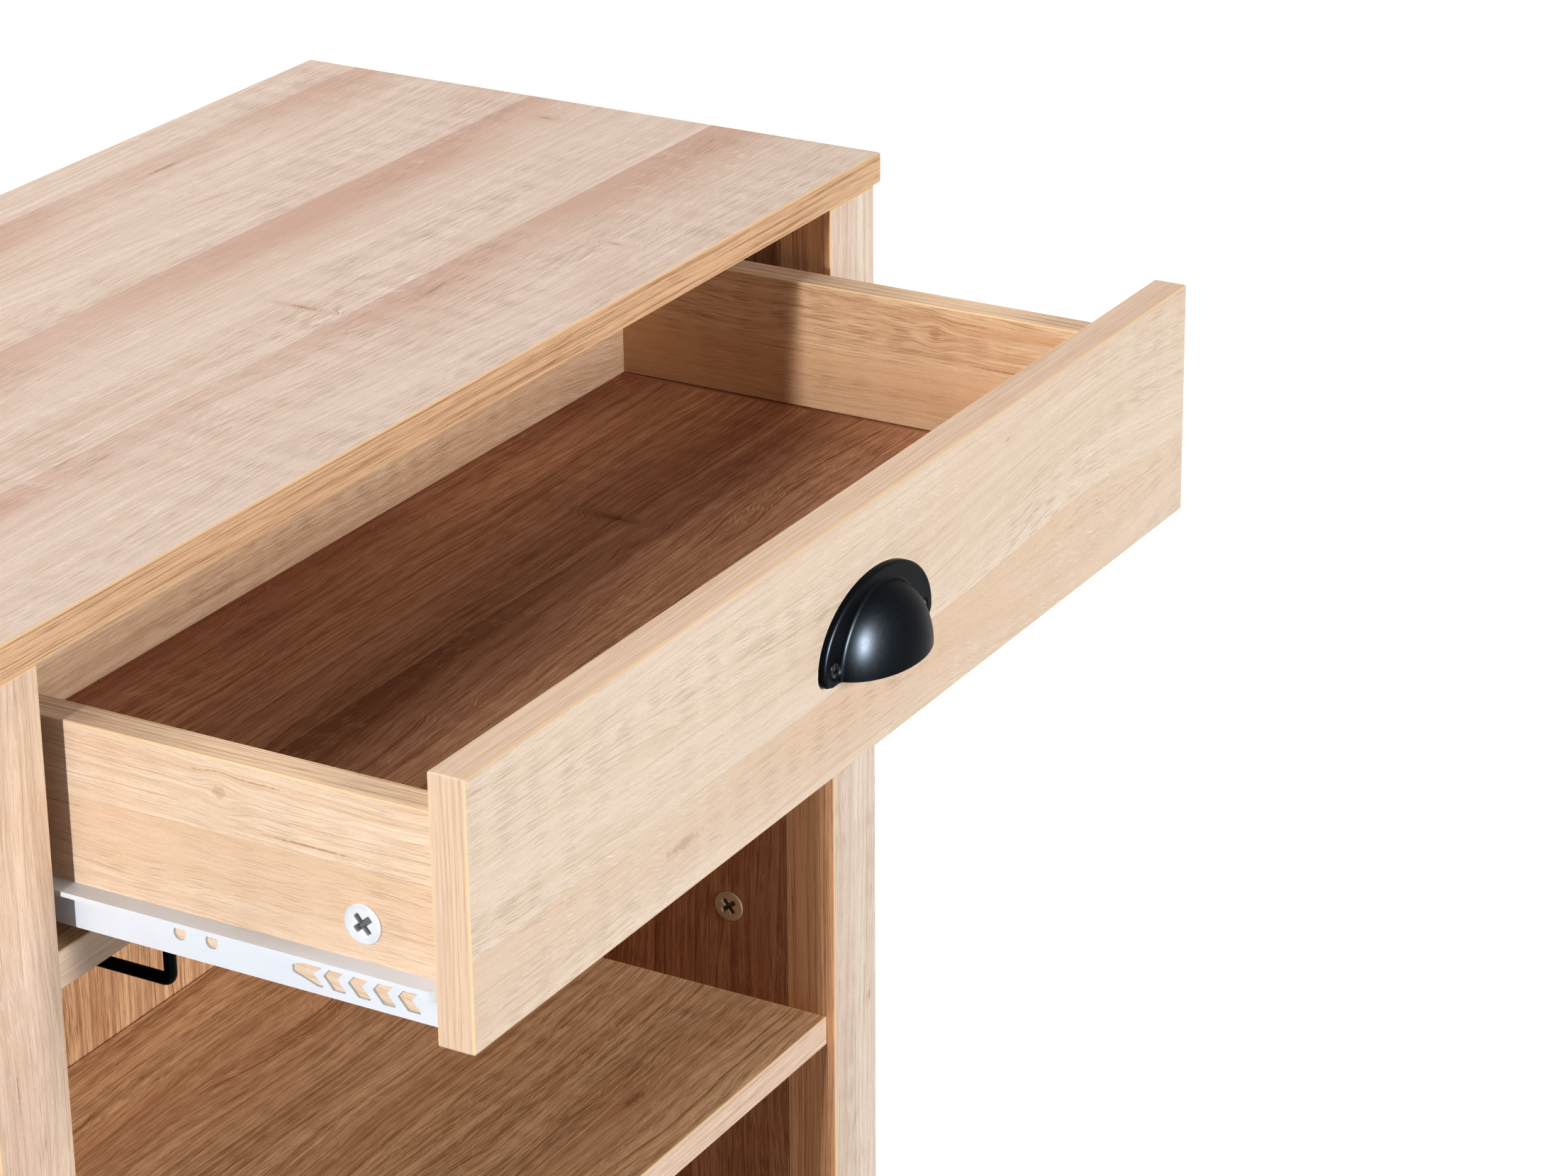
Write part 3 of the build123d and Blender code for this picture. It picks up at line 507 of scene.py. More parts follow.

# Colours of the bandings, posts and board faces that differ from the plain oak. Some of them are
# painted light or shade, as marked below.
PALE_BAND = {"Band Pale": paint(234, 209, 186), "Band Dark": paint(192, 152, 124)}
# Painted light: the divider's front edge banding made paler, where the drawer and runner shade it.
DIVIDER_BAND_PAINTED_LIGHT = {"Band Pale": paint(250, 226, 200), "Band Dark": paint(215, 176, 146)}
# Painted light: the drawer's banding made paler, lighting the top edges of its sides and back.
DRAWER_BAND_PAINTED_LIGHT = {"Band Pale": paint(238, 205, 172), "Band Dark": paint(172, 128, 95)}
# Painted shade: the left posts warmer and darker, with darker banding, as less light falls on them.
LEFT_POST_PAINTED_SHADE = {
    "Pale": paint(234, 211, 190),
    "Mid": paint(200, 168, 142),
    "Figure": 1.2,
    "Band Pale": paint(204, 156, 116),
    "Band Dark": paint(136, 88, 56),
}
# Painted light: the right posts' faces a little paler than the plain oak.
RIGHT_POST_PAINTED_LIGHT = {
    "Pale": paint(236, 220, 205),
    "Band Pale": paint(222, 172, 130),
    "Band Dark": paint(150, 100, 66),
}
SIDE_FACE = {
    "Pale": paint(232, 211, 189),
    "Mid": paint(206, 172, 140),
    "Pore": paint(150, 112, 84),
}
BACK_FACE = {**SIDE_FACE, "Pale": paint(240, 220, 196)}
# Painted shade: the grain of boards that lie in shade, with darker mids and pores and stronger
# contrast.
PAINTED_SHADE_GRAIN = {
    "Figure": 1.25,
    "Pores": 1.5,
    "Flecks": 1.2,
    "Pale": paint(252, 232, 214),
    "Mid": paint(164, 129, 103),
    "Streak": paint(190, 148, 122),
    "Pore": paint(104, 72, 50),
    "Fleck": paint(255, 240, 222),
}

top_knots = [
    (167, 123.5, 17, 1.2, 0.9),
    (35, -51.5, 1.4, 9, 0.7),
    (321, 5.5, 2.5, 6, 0.6),
    (173, -126.5, 2, 7, 0.5),
    (79, -88.5, 22, 5, 0.35),
    (-60, 60, 40, 12, 0.0),
]
top_face = {"Pale": paint(223, 201, 187), "Streak": paint(188, 148, 128), "Plank Start": 0.0325}
oak_material("top_panel", "x", "y", "z", top_knots, Seed=0.7, Planks=1.25, Figure=1.1, **top_face)

front_knots = [(-151, -33.5, 15, 3, 0.45), (190, -20, 60, 26, 0.0), (120, 38, 3, 1.2, 0.4)]
front_face = {
    "Pale": paint(230, 211, 192),
    "Mid": paint(204, 178, 152),
    "Streak": paint(216, 184, 154),
    "Plank Start": -0.017,
    "Band Pale": paint(219, 191, 166),
    "Band Dark": paint(196, 160, 132),
}
oak_material(
    "drawer_front",
    "x",
    "z",
    "y",
    front_knots,
    Seed=4.2,
    Figure=0.7,
    Warp=0.6,
    Pores=0.7,
    **front_face,
)

side_knots = [
    (-43, 28.5, 4.5, 4, 0.4),
    (-82, 16, 26, 0.5, 0.9),
    (-52, 36, 30, 0.5, 0.8),
    (40, 8, 24, 0.4, 0.7),
]
side_face = {"Plank Start": 0.012, "Streak": paint(216, 182, 150), **DRAWER_BAND_PAINTED_LIGHT, **SIDE_FACE}
panel_knots = [(42, -85, 8, 1.6, 0.6), (120, 30, 10, 2, 0.6), (-160, 60, 6, 3, 0.5)]
post_knots = [(-20, 14, 3, 2, 0.5), (250, -8, 12, 0.5, 0.7)]
for side, turn, seed in (("left", 1.0, 8.1), ("right", -1.0, 12.6)):
    # Painted shade goes on the faces of the drawer sides and side panels that look into the drawer
    # or the cabinet.
    inward = {"Shaded Side": turn}
    oak_material(
        f"drawer_side_{side}",
        "y",
        "z",
        "x",
        side_knots,
        Seed=seed,
        Planks=0.9,
        Figure=1.15 if side == "left" else 1.4,
        Pores=0.7 if side == "left" else 1.2,
        Flecks=0.5,
        Shade=PAINTED_SHADE_DRAWER_SIDES,
        **inward,
        **side_face,
    )
    oak_material(
        f"side_panel_{side}",
        "z",
        "y",
        "x",
        panel_knots,
        Seed=seed + 20,
        Planks=0.5,
        Banded=0.0,
        Shade=PAINTED_SHADE_PANELS,
        **inward,
        **(PAINTED_SHADE_GRAIN if side == "right" else {}),
    )
    for place, shift in (("front", 30), ("rear", 40)):
        oak_material(
            f"{place}_post_{side}",
            "z",
            "x",
            "y",
            post_knots,
            Seed=seed + shift,
            Planks=0.3,
            **(LEFT_POST_PAINTED_SHADE if side == "left" else RIGHT_POST_PAINTED_LIGHT),
        )

back_cracks = [(150, 10, 30, 0.6, 0.7), (-60, -12, 40, 0.6, 0.6)]
oak_material(
    "drawer_back",
    "x",
    "z",
    "y",
    back_cracks,
    Seed=17.3,
    Planks=0.4,
    Figure=1.5,
    Pores=1.3,
    Shade=PAINTED_SHADE_DRAWER_BACK,
    **DRAWER_BAND_PAINTED_LIGHT,
    **BACK_FACE,
)

# The last three are dark lines along the drawer's back and sides, painted shade in the narrow gaps
# of those joints, as knots without an end.
bottom_knots = [
    (110, 40, 2, 10, 0.7),
    (-70, 112, 24, 3, 0.5),
    (60, -60, 30, 10, 0.0),
    (-150, -20, 14, 1, 0.6),
    (0, 136.3, 9000, 1.4, 1.0),
    (272.6, 0, 1.4, 9000, 1.0),
    (-272.6, 0, 1.4, 9000, 1.0),
]
# The drawer bottom's darker streak is partly print and partly painted shade across its floor.
bottom_face = {**PAINTED_SHADE_GRAIN, "Plank Start": 0.0295, "Streak": paint(140, 99, 78)}
oak_material(
    "drawer_bottom", "x", "y", "z", bottom_knots, Seed=21.9, Banded=0.0, Shade=PAINTED_SHADE_DRAWER_BOTTOM, **bottom_face
)

rear_face = {**PAINTED_SHADE_GRAIN, "Shaded Side": -1.0}
oak_material(
    "back_panel", "z", "x", "y", Seed=25.2, Banded=0.0, Planks=0.3, Shade=PAINTED_SHADE_REAR_PANEL, **rear_face
)

shelf_knots = [
    (180, -112, 14, 4, 0.7),
    (40, -30, 30, 0.6, 0.6),
    (-120, 60, 3, 6, 0.6),
    (-190, -90, 9, 2, 0.5),
]
for node, seed, band in (
    ("drawer_divider", 51.0, DIVIDER_BAND_PAINTED_LIGHT),
    ("middle_shelf", 55.0, PALE_BAND),
    ("bottom_shelf", 59.0, PALE_BAND),
):
    oak_material(
        node, "x", "y", "z", shelf_knots, Seed=seed, Planks=0.4, Shade=PAINTED_SHADE_SHELVES, **band, **PAINTED_SHADE_GRAIN
    )


# Painted shade for the sunk cross of a screw or cam head.
CROSS_SHADOW = (0.02, 0.02, 0.022, 1.0)


def plain_material(
    name, colour, roughness, metallic=0.0, grit=900.0, depth=0.00003, even=0.8, sunk=False, **values
):
    """A metal or plastic with a fine unevenness in its colour, gloss and surface.

    even is how light the colour's darker patches stay. With sunk, painted shade darkens the colour
    where the mesh's attribute of that name says the surface is sunk, as in the cross of a screw
    head.
    """
    material, net, shader = new_material(name)
    place = net.add("TexCoord").outputs["Object"]
    fine = net.noise(place, scale=grit, detail=3.0)
    broad = net.noise(place, scale=grit / 18, detail=2.0)
    darker = tuple(even * part for part in colour[:3]) + (1.0,)
    share = net.ramp(broad, 0.3, 0.75)
    shown = net.blend(share, colour, darker)
    # Painted shade darkens the colour where the cross is sunk.
    if sunk:
        sunk_shade = net.add("Attribute", attribute_name="sunk").outputs["Fac"]
        shown = net.blend(net.math("MULTIPLY", sunk_shade, 0.85), shown, CROSS_SHADOW)
    net.feed(shader.inputs["Base Color"], shown)
    rough = net.math("MULTIPLY_ADD", fine, 0.12, roughness - 0.06)
    net.feed(shader.inputs["Roughness"], rough)
    shader.inputs["Metallic"].default_value = metallic
    for socket, value in values.items():
        shader.inputs[socket.replace("_", " ")].default_value = value
    bumped(net, shader, fine, depth, 0.5)
    return material


runner_white = plain_material(
    "runner_white", paint(217, 222, 230), 0.3, even=0.97, Specular_IOR_Level=0.25
)
cast_zinc = plain_material(
    "cast_zinc", paint(218, 221, 225), 0.42, metallic=0.5, grit=1500.0, depth=0.00006, sunk=True
)
# The carcass cam heads: the same zinc made browner and darker, as painted shade and a painted
# reflection of the wood round them.
zinc_painted_shade = plain_material(
    "zinc_painted_shade", paint(186, 166, 142), 0.36, metallic=0.4, grit=1500.0, depth=0.00006, sunk=True
)
bright_zinc = plain_material("bright_zinc", paint(190, 190, 188), 0.3, metallic=1.0)
nylon = plain_material("roller_nylon", paint(226, 224, 216), 0.45)
black_lacquer = plain_material(
    "black_lacquer",
    paint(3, 4, 7),
    0.37,
    grit=700.0,
    depth=0.000004,
    Specular_IOR_Level=0.025,
    Specular_Tint=(0.78, 0.88, 1.0, 1.0),
)
black_steel = plain_material(
    "black_steel", paint(22, 23, 26), 0.25, metallic=0.3, grit=1500.0, depth=0.00002, sunk=True
)
beech = plain_material("dowel_beech", paint(214, 184, 148), 0.6, grit=400.0)
glide_brown = plain_material("glide_brown", paint(70, 56, 46), 0.5)

FITTINGS = (
    (runner_white, ("cabinet_runner_left", "cabinet_runner_right")),
    (runner_white, ("drawer_runner_left", "drawer_runner_right")),
    (cast_zinc, ("carcass_cams", "drawer_cams")),
    (bright_zinc, ("carcass_cam_bolts", "drawer_cam_bolts")),
    (bright_zinc, ("cabinet_runner_screws", "drawer_runner_screws", "drawer_back_screws")),
    (bright_zinc, ("cabinet_roller_rivets", "drawer_roller_rivets")),
    (nylon, ("front_roller_left", "front_roller_right", "rear_roller_left", "rear_roller_right")),
    (black_lacquer, ("cup_pull", "pull_screws", "rail_screws")),
    (black_lacquer, ("hanging_rail_left", "hanging_rail_middle", "hanging_rail_right")),
    (beech, ("carcass_dowels", "drawer_dowels")),
    (glide_brown, ("foot_glides",)),
)
for material, dressed in FITTINGS:
    for node in dressed:
        dress(node, material)


# ---- smooth pieces in place of the facetted CAD ----


def quads(points, closed=False):
    """Faces of a grid of rows by columns whose vertices are numbered row by row."""
    rows, columns = points.shape[:2]
    row, column = np.meshgrid(
        np.arange(rows - 1), np.arange(columns if closed else columns - 1), indexing="ij"
    )
    across = (column + 1) % columns
    low, high = row * columns, (row + 1) * columns
    return np.stack([low + column, low + across, high + across, high + column], -1).reshape(-1, 4)


def new_piece(name, points, faces, material, body, stands_for, sharp):
    """A finished piece, smooth but for edges sharper than an angle, in place of one CAD node."""
    mesh = bpy.data.meshes.new(name)
    mesh.from_pydata(points.tolist(), [], faces)
    mesh.materials.append(material)
    mesh.shade_smooth()
    mesh.set_sharp_from_angle(angle=math.radians(sharp))
    piece = bpy.data.objects.new(name, mesh)
    scene.collection.objects.link(piece)
    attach(piece, body)
    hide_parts(stands_for)
    return piece


# The pull's foot on the drawer front, and where its screws and the cam locks have their heads.
PULL_FOOT = (0.0, -0.25, 0.763)
PULL_SCREW = (0.037, -0.2534, 0.7695)
DRAWER_CAM = (0.2881, -0.196, 0.755)
PANEL_CAM_FACE = 0.2994
PANEL_CAM_ROWS = (0.118, 0.451, 0.784)
PANEL_CAM_LINES = (-0.001, 0.21)
TOP_CAM_HEIGHT = 0.801
TOP_CAM_LINES = (0.042, 0.167)
SHELF_CAM_SIDE = 0.266
SHELF_CAM_LINES = (0.017, 0.182)
SHELF_UNDERSIDES = (0.699, 0.386, 0.07)
STANDS_PROUD = 0.0006


def even_steps(line, count):
    """A line of points resampled to a count of even steps."""
    lengths = np.concatenate([[0.0], np.cumsum(np.linalg.norm(np.diff(line, axis=0), axis=1))])
    steps = np.linspace(0.0, lengths[-1], count)
    return np.stack([np.interp(steps, lengths, line[:, i]) for i in range(line.shape[1])], axis=-1)


def smooth_rise(value):
    """A smooth step from 0 to 1."""
    value = np.clip(value, 0.0, 1.0)
    return value * value * (3.0 - 2.0 * value)


def make_cup_pull(columns=200):
    """The cup pull: a half-oval flange that turns through a fillet into a quarter of an ellipsoid.

    Each column of the grid is one profile, from the flange's back edge round its bead, over its
    face, up the fillet and over the cup to its front tip, then back along the inside of the wall.
    Columns follow the oval from the right foot over the top to the left foot. The cup's section at
    a distance out of the flange is an ellipse that shrinks by the cosine as the distance grows by
    the sine. Two shallow seats are pressed in for the screws. Measures are in millimetres.
    """
    half, height, thick = 45.5, 37.0, 3.5
    cup, drop, reach, wall = 33.5, 31.5, 22.0, 2.0
    corner, bead, fillet = 5.0, 1.3, 1.2
    shoulder, screw_side, screw_high = 6.0, 37.0, 6.5
    seat_size, seat_flank, seat_depth = 4.4, 0.7, 0.6
    quarter = np.linspace(-np.pi / 2, 0.0, 16)
    foot_x = half - corner + corner * np.cos(quarter)
    foot = np.stack([foot_x, corner + corner * np.sin(quarter)], -1)
    sweep = np.linspace(0.0, np.pi / 2, 90)
    arch = np.stack([half * np.cos(sweep), shoulder + (height - shoulder) * np.sin(sweep)], -1)
    right = np.concatenate([foot, arch])
    outline = even_steps(np.concatenate([right, (right * [-1, 1])[::-1][1:]]), columns)
    slope = np.gradient(outline, axis=0)
    inward = np.stack([-slope[:, 1], slope[:, 0]], -1)
    inward /= np.linalg.norm(inward, axis=1, keepdims=True)
    inward[0], inward[-1] = (-1.0, 0.0), (1.0, 0.0)
    sweep = np.linspace(0.0, np.pi, 400)
    rim = even_steps(np.stack([cup * np.cos(sweep), drop * np.sin(sweep)], -1), columns)
    angle = np.arctan2(rim[:, 1] / drop, rim[:, 0] / cup)
    round_x, round_z = np.cos(angle), np.sin(angle)
    away = np.stack([round_x / cup, round_z / drop], -1)
    away /= np.linalg.norm(away, axis=1, keepdims=True)

    def row(flat, level):
        """One row of points: its place in the plane of the flange, and its distance out of it."""
        return np.stack([flat[:, 0], np.full(columns, -level), flat[:, 1]], -1)

    def oval(share, less=0.0):
        """The cup's ellipse shrunk to a share, less the thickness of its wall on the inside."""
        return np.stack([(cup - less) * share * round_x, (drop - less) * share * round_z], -1)

    rows = [row(outline, level) for level in (0.0, 0.8, thick - bead)]
    for turn in np.linspace(0.15, 1.0, 7) * np.pi / 2:
        flat = outline + inward * bead * (1 - np.cos(turn))
        rows.append(row(flat, thick - bead + bead * np.sin(turn)))
    edge = outline + inward * bead
    start = oval(math.sqrt(1 - (thick / reach) ** 2)) + away * fillet
    for step in np.linspace(0.0, 1.0, 28)[1:]:
        rows.append(row(edge * (1 - step) + start * step, thick))
    for turn in np.linspace(0.12, 1.0, 9) * np.pi / 2:
        level = thick + fillet * (1 - math.cos(turn))
        flat = oval(math.sqrt(1 - (level / reach) ** 2))
        rows.append(row(flat + away * fillet * (1 - math.sin(turn)), level))
    first = math.asin((thick + fillet) / reach)
    for turn in np.linspace(first, math.radians(88.5), 46)[1:]:
        rows.append(row(oval(math.cos(turn)), reach * math.sin(turn)))
    outer = np.array(rows)
    rows = []
    for turn in np.linspace(math.radians(88.0), 0.0, 24):
        rows.append(row(oval(math.cos(turn), wall), (reach - wall) * math.sin(turn)))
    rows.append(row(outline + inward * wall, 0.0))
    inner = np.array(rows)

    on_face = outer[..., 1] < -(thick - 0.2)
    for side in (-1, 1):
        away_from = np.hypot(outer[..., 0] - side * screw_side, outer[..., 2] - screw_high)
        seat = smooth_rise((seat_size - away_from) / seat_flank) * seat_depth
        outer[..., 1] += np.where(on_face & (away_from < seat_size), seat, 0.0)

    # the tips are closed by fans, the two skins by a ring at the back and a strip at each end
    grid = np.concatenate([outer, inner])
    count = len(outer)
    faces = quads(grid)
    keep = (faces[:, 0] // columns) != count - 1
    faces = faces[keep].tolist()
    total = len(grid) * columns
    tip, hollow = total, total + 1
    points = np.concatenate(
        [grid.reshape(-1, 3), [[0.0, -reach, 0.0], [0.0, -(reach - wall), 0.0]]]
    )
    last = (count - 1) * columns
    index = np.arange(columns - 1)
    fan = np.stack([last + index, last + index + 1, np.full_like(index, tip)], -1)
    first = last + columns + index
    nose = np.stack([first + 1, first, np.full_like(index, hollow)], -1)
    closing = (len(grid) - 1) * columns
    ring = np.stack([closing + index, closing + index + 1, index + 1, index], -1)
    faces += fan.tolist() + nose.tolist() + ring.tolist()
    front = np.arange(count) * columns
    back = np.arange(count, len(grid)) * columns
    faces.append([*front.tolist(), tip, hollow, *back.tolist()])
    far = columns - 1
    faces.append([*(back + far)[::-1].tolist(), hollow, tip, *(front + far)[::-1].tolist()])
    points = points * MM + PULL_FOOT
    new_piece("pull_cup", points, faces, black_lacquer, "drawer", "cup_pull", 50)


def round_head(radius, dome, ease, cross, depth, turn, rings, sectors, wall):
    """A round head, lying in XY and facing up: a dome with an eased edge and a cross pressed in.

    Height over the seat is a shallow dome, less a quarter circle at the edge, less the cross, whose
    arms have soft flanks and ends. The side follows wall, a list of (radius, height). It is given
    as points, faces and how far each point is sunk in the cross, from 0 to 1.
    """
    spread = np.linspace(0.0, 1.0, rings)[1:] ** 0.9 * radius
    around = np.linspace(0.0, 2 * np.pi, sectors, endpoint=False)
    far, angle = np.meshgrid(spread, around, indexing="ij")
    x, y = far * np.cos(angle), far * np.sin(angle)
    height = dome * (1 - (far / radius) ** 2)
    height -= ease * (1 - np.sqrt(np.clip(1 - ((far - radius + ease) / ease).clip(0) ** 2, 0, 1)))
    length, width = cross
    lean_x = x * math.cos(turn) + y * math.sin(turn)
    lean_y = y * math.cos(turn) - x * math.sin(turn)
    small = np.minimum(np.abs(lean_x), np.abs(lean_y))
    large = np.maximum(np.abs(lean_x), np.abs(lean_y))
    arm = smooth_rise((width / 2 - small) / (0.22 * width) + 0.5)
    sunk = arm * smooth_rise((length / 2 - large) / (0.1 * length) + 0.5)
    height -= sunk * depth
    top = np.stack([x, y, height], -1)
    around = np.stack([np.cos(around), np.sin(around)], -1)
    side = [np.concatenate([around * r, np.full((sectors, 1), h)], axis=1) for r, h in wall]
    grid = np.concatenate([top, side])
    faces = quads(grid, closed=True)
    total = grid.shape[0] * sectors
    index = np.arange(sectors)
    middle = np.stack([np.full(sectors, total), index, (index + 1) % sectors], -1)
    last = total - sectors
    base = np.stack([np.full(sectors, total + 1), last + (index + 1) % sectors, last + index], -1)
    points = np.concatenate([grid.reshape(-1, 3), [[0, 0, dome - depth], [0, 0, wall[-1][1]]]])
    # How far each point is sunk, which the material turns into painted shade in the cross.
    dark = np.concatenate([sunk.ravel(), np.zeros(len(side) * sectors), [1.0, 0.0]])
    return points, faces[:, ::-1].tolist() + middle.tolist() + base.tolist(), dark


def set_heads(name, head, places, material, body, node):
    """Copies of one head joined in one mesh, each turned to face out and moved to its centre.

    A place is the centre and the way out. The head's Y turns to the way up, or back where the head
    faces up or down.
    """
    points, faces, dark = head
    corners, joined = [], []
    for number, (centre, out) in enumerate(places):
        out = np.array(out, float)
        up = np.array((0.0, 0.0, 1.0)) if abs(out[2]) < 0.5 else np.array((0.0, 1.0, 0.0))
        turn = np.stack([np.cross(up, out), up, out])
        corners.append(points * MM @ turn + np.array(centre))
        joined += [[one + number * len(points) for one in face] for face in faces]
    piece = new_piece(name, np.concatenate(corners), joined, material, body, node, 60)
    # The sunk share of each point, kept for the painted shade in the cross.
    sunk_shade = piece.data.attributes.new("sunk", "FLOAT", "POINT")
    sunk_shade.data.foreach_set("value", np.tile(dark, len(places)))


def make_heads():
    """The heads of the pull's screws and of every cam lock."""
    wall = [(3.3, -1.6), (1.7, -1.7), (1.7, -14.0)]
    screw = round_head(
        3.3, 0.5, 0.7, cross=(4.4, 1.1), depth=1.1, turn=0.0, rings=34, sectors=96, wall=wall
    )
    x, y, z = PULL_SCREW
    places = [((side * x, y, z), (0, -1, 0)) for side in (-1, 1)]
    set_heads(
        "pull_screw_heads", screw, places, black_steel, "drawer", "pull_screws"
    )

    wall = [(8.15, -0.6), (7.5, -0.62), (7.5, -12.0)]
    cam = {"radius": 8.2, "dome": 0.05, "ease": 0.35, "cross": (8.6, 2.2), "depth": 3.0}
    cam |= {"turn": math.radians(40), "wall": wall}
    fine = round_head(**cam, rings=44, sectors=128)
    plain = round_head(**cam, rings=26, sectors=80)
    x, y, z = DRAWER_CAM
    places = [((side * x, y, z), (side, 0, 0)) for side in (-1, 1)]
    set_heads("drawer_cam_heads", fine, places, cast_zinc, "drawer", "drawer_cams")

    places = []
    for side in (-1, 1):
        x, inwards = side * PANEL_CAM_FACE, (-side, 0, 0)
        places += [((x, y, z), inwards) for y in PANEL_CAM_LINES for z in PANEL_CAM_ROWS]
        places += [((x, y, TOP_CAM_HEIGHT), inwards) for y in TOP_CAM_LINES]
        x = side * SHELF_CAM_SIDE
        for under in SHELF_UNDERSIDES:
            places += [((x, y, under - STANDS_PROUD), (0, 0, -1)) for y in SHELF_CAM_LINES]
    set_heads(
        "carcass_cam_heads", plain, places, zinc_painted_shade, "carcass", "carcass_cams"
    )


def make_rails(count=24):
    """The hanging rails: wire down, back and up again, with a small welded plate at each end.

    The wire is a circle carried square to its path, a line in the YZ plane with two round bends.
    The plates are boxes.
    """
    wire, bend, low, high = 0.00275, 0.0034, 0.65375, 0.6975
    front, rear = -0.040, 0.222
    plate, plate_height = (0.018, 0.007, 0.001), 0.698
    quarter = np.linspace(0.0, np.pi / 2, 9)
    in_from, up_from = bend * (1 - np.cos(quarter)), low + bend * (1 - np.sin(quarter))
    down = np.stack([front + in_from, up_from], -1)
    up = np.stack([rear - in_from, up_from], -1)
    path = np.concatenate([[[front, high]], down, up[::-1], [[rear, high]]])
    ahead = np.gradient(path, axis=0)
    ahead /= np.linalg.norm(ahead, axis=1, keepdims=True)
    across = np.stack([-ahead[:, 1], ahead[:, 0]], -1)
    around = np.linspace(0.0, 2 * np.pi, count, endpoint=False)
    flat = path[:, None, :] + across[:, None, :] * (wire * np.cos(around))[None, :, None]
    wide = np.broadcast_to(wire * np.sin(around), flat.shape[:2])
    tube = np.stack([wide, flat[..., 0], flat[..., 1]], -1)
    faces = quads(tube, closed=True).tolist()
    total = tube.shape[0] * count
    faces += [list(range(count))[::-1], list(range(total - count, total))]
    corners = np.array([[x, y, z] for x in (-1, 1) for y in (-1, 1) for z in (-1, 1)])
    sides = np.array(
        [[0, 1, 3, 2], [4, 6, 7, 5], [0, 4, 5, 1], [2, 3, 7, 6], [0, 2, 6, 4], [1, 5, 7, 3]]
    )
    for place, x in (("left", -0.205), ("middle", 0.0), ("right", 0.205)):
        points, joined = [tube.reshape(-1, 3)], list(faces)
        for y in (front, rear):
            shift = sum(len(part) for part in points)
            points.append(corners * plate + [0.0, y, plate_height])
            joined += (sides + shift).tolist()
        new_piece(
            f"wire_rail_{place}",
            np.concatenate(points) + [x, 0.0, 0.0],
            joined,
            black_lacquer,
            "carcass",
            f"hanging_rail_{place}",
            40,
        )


make_cup_pull()
make_heads()
make_rails()


# ---- floor, light and camera ----


WHITE = (1.0, 1.0, 1.0, 1.0)
FLOOR_GREY = (0.34, 0.34, 0.34, 1.0)
COOL_LIGHT = (0.98, 0.99, 1.0)


def make_floor():
    """A wide flat floor. A glow that the camera and reflections see lifts it to white far away."""
    steps = np.linspace(-9.0, 9.0, 7)
    grid_x, grid_y = np.meshgrid(steps, steps)
    grid = np.stack([grid_x, grid_y, np.zeros_like(grid_x)], axis=-1)
    mesh = bpy.data.meshes.new("floor")
    mesh.from_pydata(grid.reshape(-1, 3).tolist(), [], quads(grid).tolist())
    floor = bpy.data.objects.new("floor", mesh)
    scene.collection.objects.link(floor)
    material, net, shader = new_material("floor_white")
    shader.inputs["Base Color"].default_value = FLOOR_GREY
    shader.inputs["Roughness"].default_value = 0.9
    shader.inputs["Emission Color"].default_value = WHITE
    path = net.add("LightPath")
    place = net.add("TexCoord").outputs["Object"]
    far = net.add("VectorMath", place, operation="LENGTH").outputs["Value"]
    lift = net.ramp(far, 1.2, 4.0, 0.88, 1.0)
    seen = net.math("MAXIMUM", path.outputs["Is Camera Ray"], path.outputs["Is Glossy Ray"])
    net.feed(shader.inputs["Emission Strength"], net.math("MULTIPLY", seen, lift))
    mesh.materials.append(material)


def make_world(strength, colour):
    """White for the camera, reflections and clear pieces, a faint light for everything else."""
    world = bpy.data.worlds.new("studio")
    scene.world = world
    world.use_nodes = True
    tree = world.node_tree
    tree.nodes.clear()
    net = Net(tree)
    path = net.add("LightPath")
    seen = net.math("MAXIMUM", path.outputs["Is Camera Ray"], path.outputs["Is Glossy Ray"])
    seen = net.math("MAXIMUM", seen, path.outputs["Is Transmission Ray"])
    backdrop = net.add("Background", WHITE, 1.0)
    fill = net.add("Background", colour, strength)
    mixed = net.add("MixShader", seen, fill.outputs[0], backdrop.outputs[0])
    out = net.add("OutputWorld")
    tree.links.new(mixed.outputs[0], out.inputs["Surface"])


def soft_box(name, place, aim, width, height, power, colour=WHITE[:3]):
    """A rectangular lamp at a place, turned towards a point."""
    light = bpy.data.lights.new(name, "AREA")
    light.shape = "RECTANGLE"
    light.size, light.size_y = width, height
    light.energy = power
    light.color = colour
    lamp = bpy.data.objects.new(name, light)
    scene.collection.objects.link(lamp)
    lamp.location = place
    lamp.rotation_euler = (Vector(aim) - Vector(place)).to_track_quat("-Z", "Y").to_euler()
    return lamp


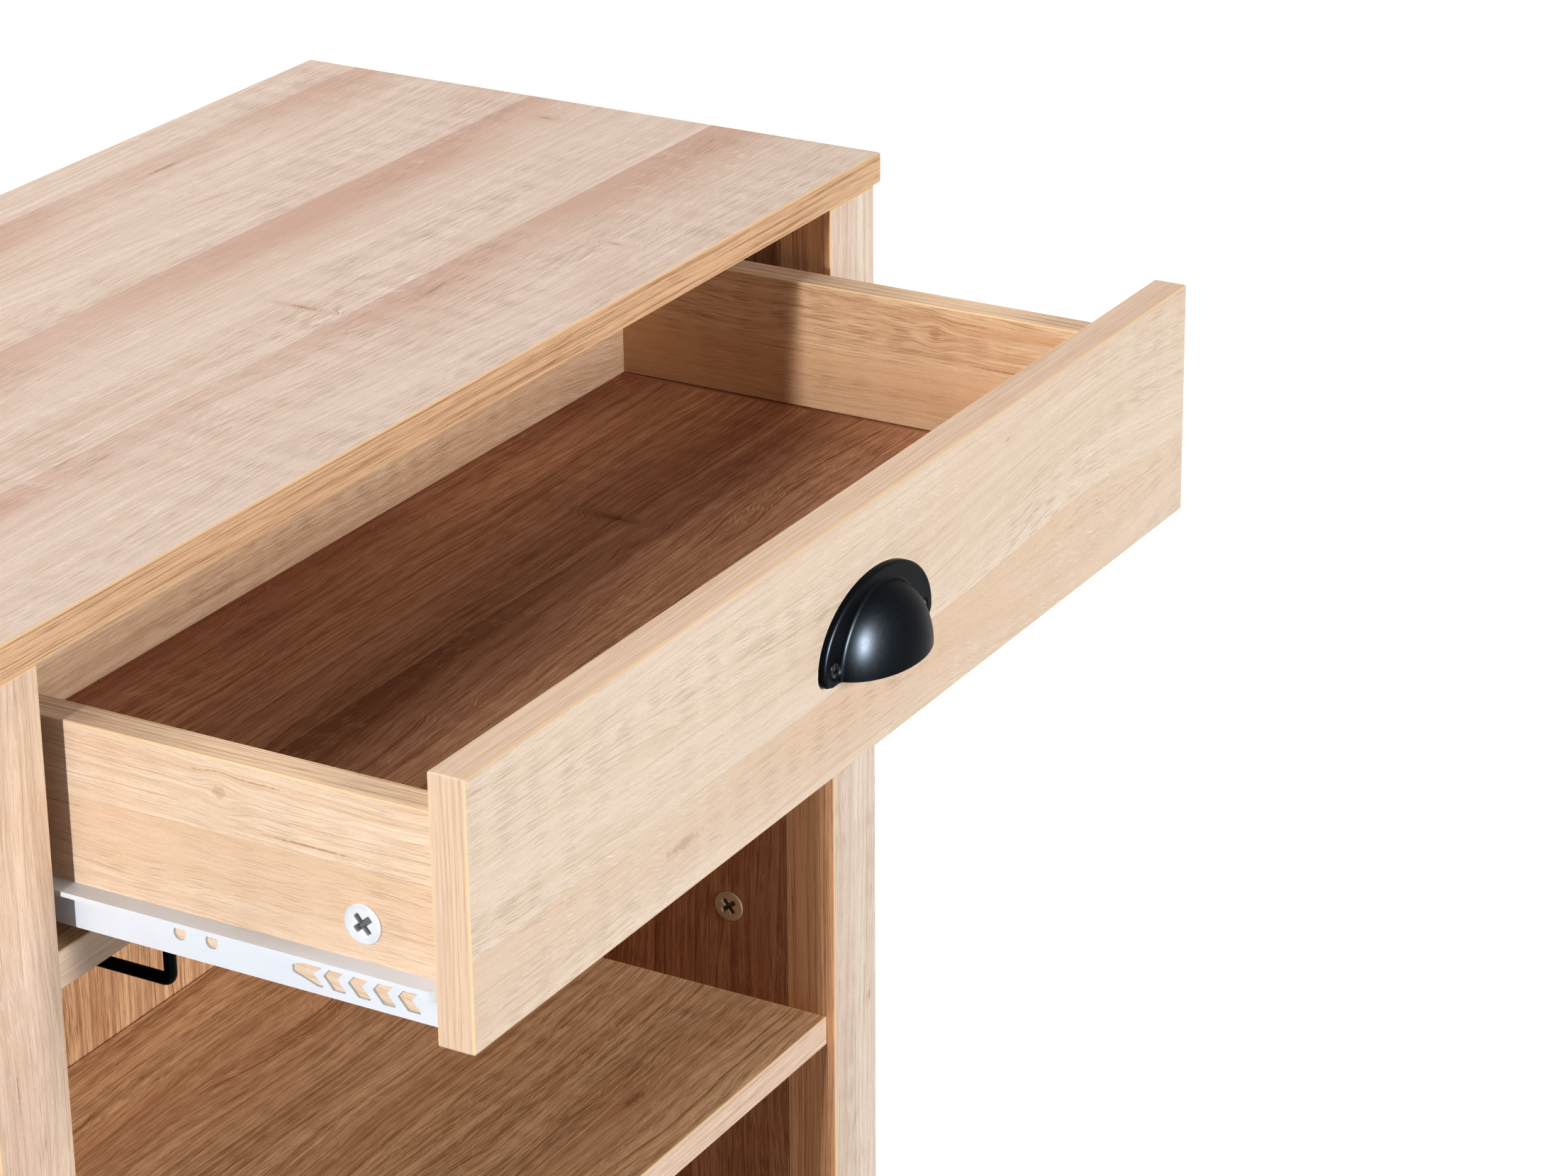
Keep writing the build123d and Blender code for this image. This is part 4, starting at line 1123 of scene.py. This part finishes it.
def make_lamps():
    """The lamps, each with its place, aim, width, height, power and colour.

    The gloss box only makes the soft highlight on the pull.
    """
    soft_box("left_box", (-4.0, -0.09, 1.38), (0.0, -0.09, 0.82), 0.09, 0.7, 130.0)
    front = soft_box("front_box", (-0.3, -6.9, 2.85), (0.0, 0.0, 0.7), 1.5, 2.4, 462.0)
    front.visible_glossy = False
    place, aim = (-1.95, -3.25, 2.62), (0.0, -0.3, 0.76)
    gloss = soft_box("gloss_box", place, aim, 1.0, 1.9, 9500.0, (0.88, 0.94, 1.0))
    gloss.visible_diffuse = False
    shone_on = bpy.data.collections.new("shone_on")
    shone_on.objects.link(scene.objects["pull_cup"])
    gloss.light_linking.receiver_collection = shone_on
    soft_box("back_box", (-0.8, 2.4, 2.6), (0.0, 0.1, 0.8), 1.8, 1.4, 78.0, COOL_LIGHT)
    soft_box("top_box", (-0.5, 0.7, 3.6), (0.0, -0.1, 0.8), 2.2, 1.6, 24.0, COOL_LIGHT)
    right = soft_box("right_box", (3.9, -0.1, 1.4), (0.0, 0.0, 0.6), 1.4, 1.6, 60.0)
    right.visible_glossy = False


def make_camera():
    """The camera, fitted to the photograph's edges and corners."""
    sensor, frame_width, focal_length = 36.0, 2212, 6456.9
    lens = bpy.data.cameras.new("camera")
    camera = bpy.data.objects.new("camera", lens)
    scene.collection.objects.link(camera)
    scene.camera = camera
    lens.sensor_width = sensor
    lens.lens = focal_length / frame_width * sensor
    lens.shift_y = -0.055
    lens.clip_start, lens.clip_end = 0.05, 60.0
    azimuth, pitch, roll = (math.radians(one) for one in (-60.038, 22.025, -0.6))
    level = Vector((-math.sin(azimuth), math.cos(azimuth), 0.0)) * math.cos(pitch)
    ahead = level - Vector((0.0, 0.0, math.sin(pitch)))
    right = Vector((math.cos(azimuth), math.sin(azimuth), 0.0))
    up = right.cross(ahead)
    side = right * math.cos(roll) + up * math.sin(roll)
    top = up * math.cos(roll) - right * math.sin(roll)
    turn = Matrix((side, top, -ahead)).transposed()
    stand = Matrix.Translation((-1.4994, -1.0733, 1.5211))
    camera.matrix_world = stand @ turn.to_4x4()


make_floor()
make_world(0.04, (1.0, 0.90, 0.80, 1.0))
make_lamps()
make_camera()

scene.view_settings.view_transform = "Standard"
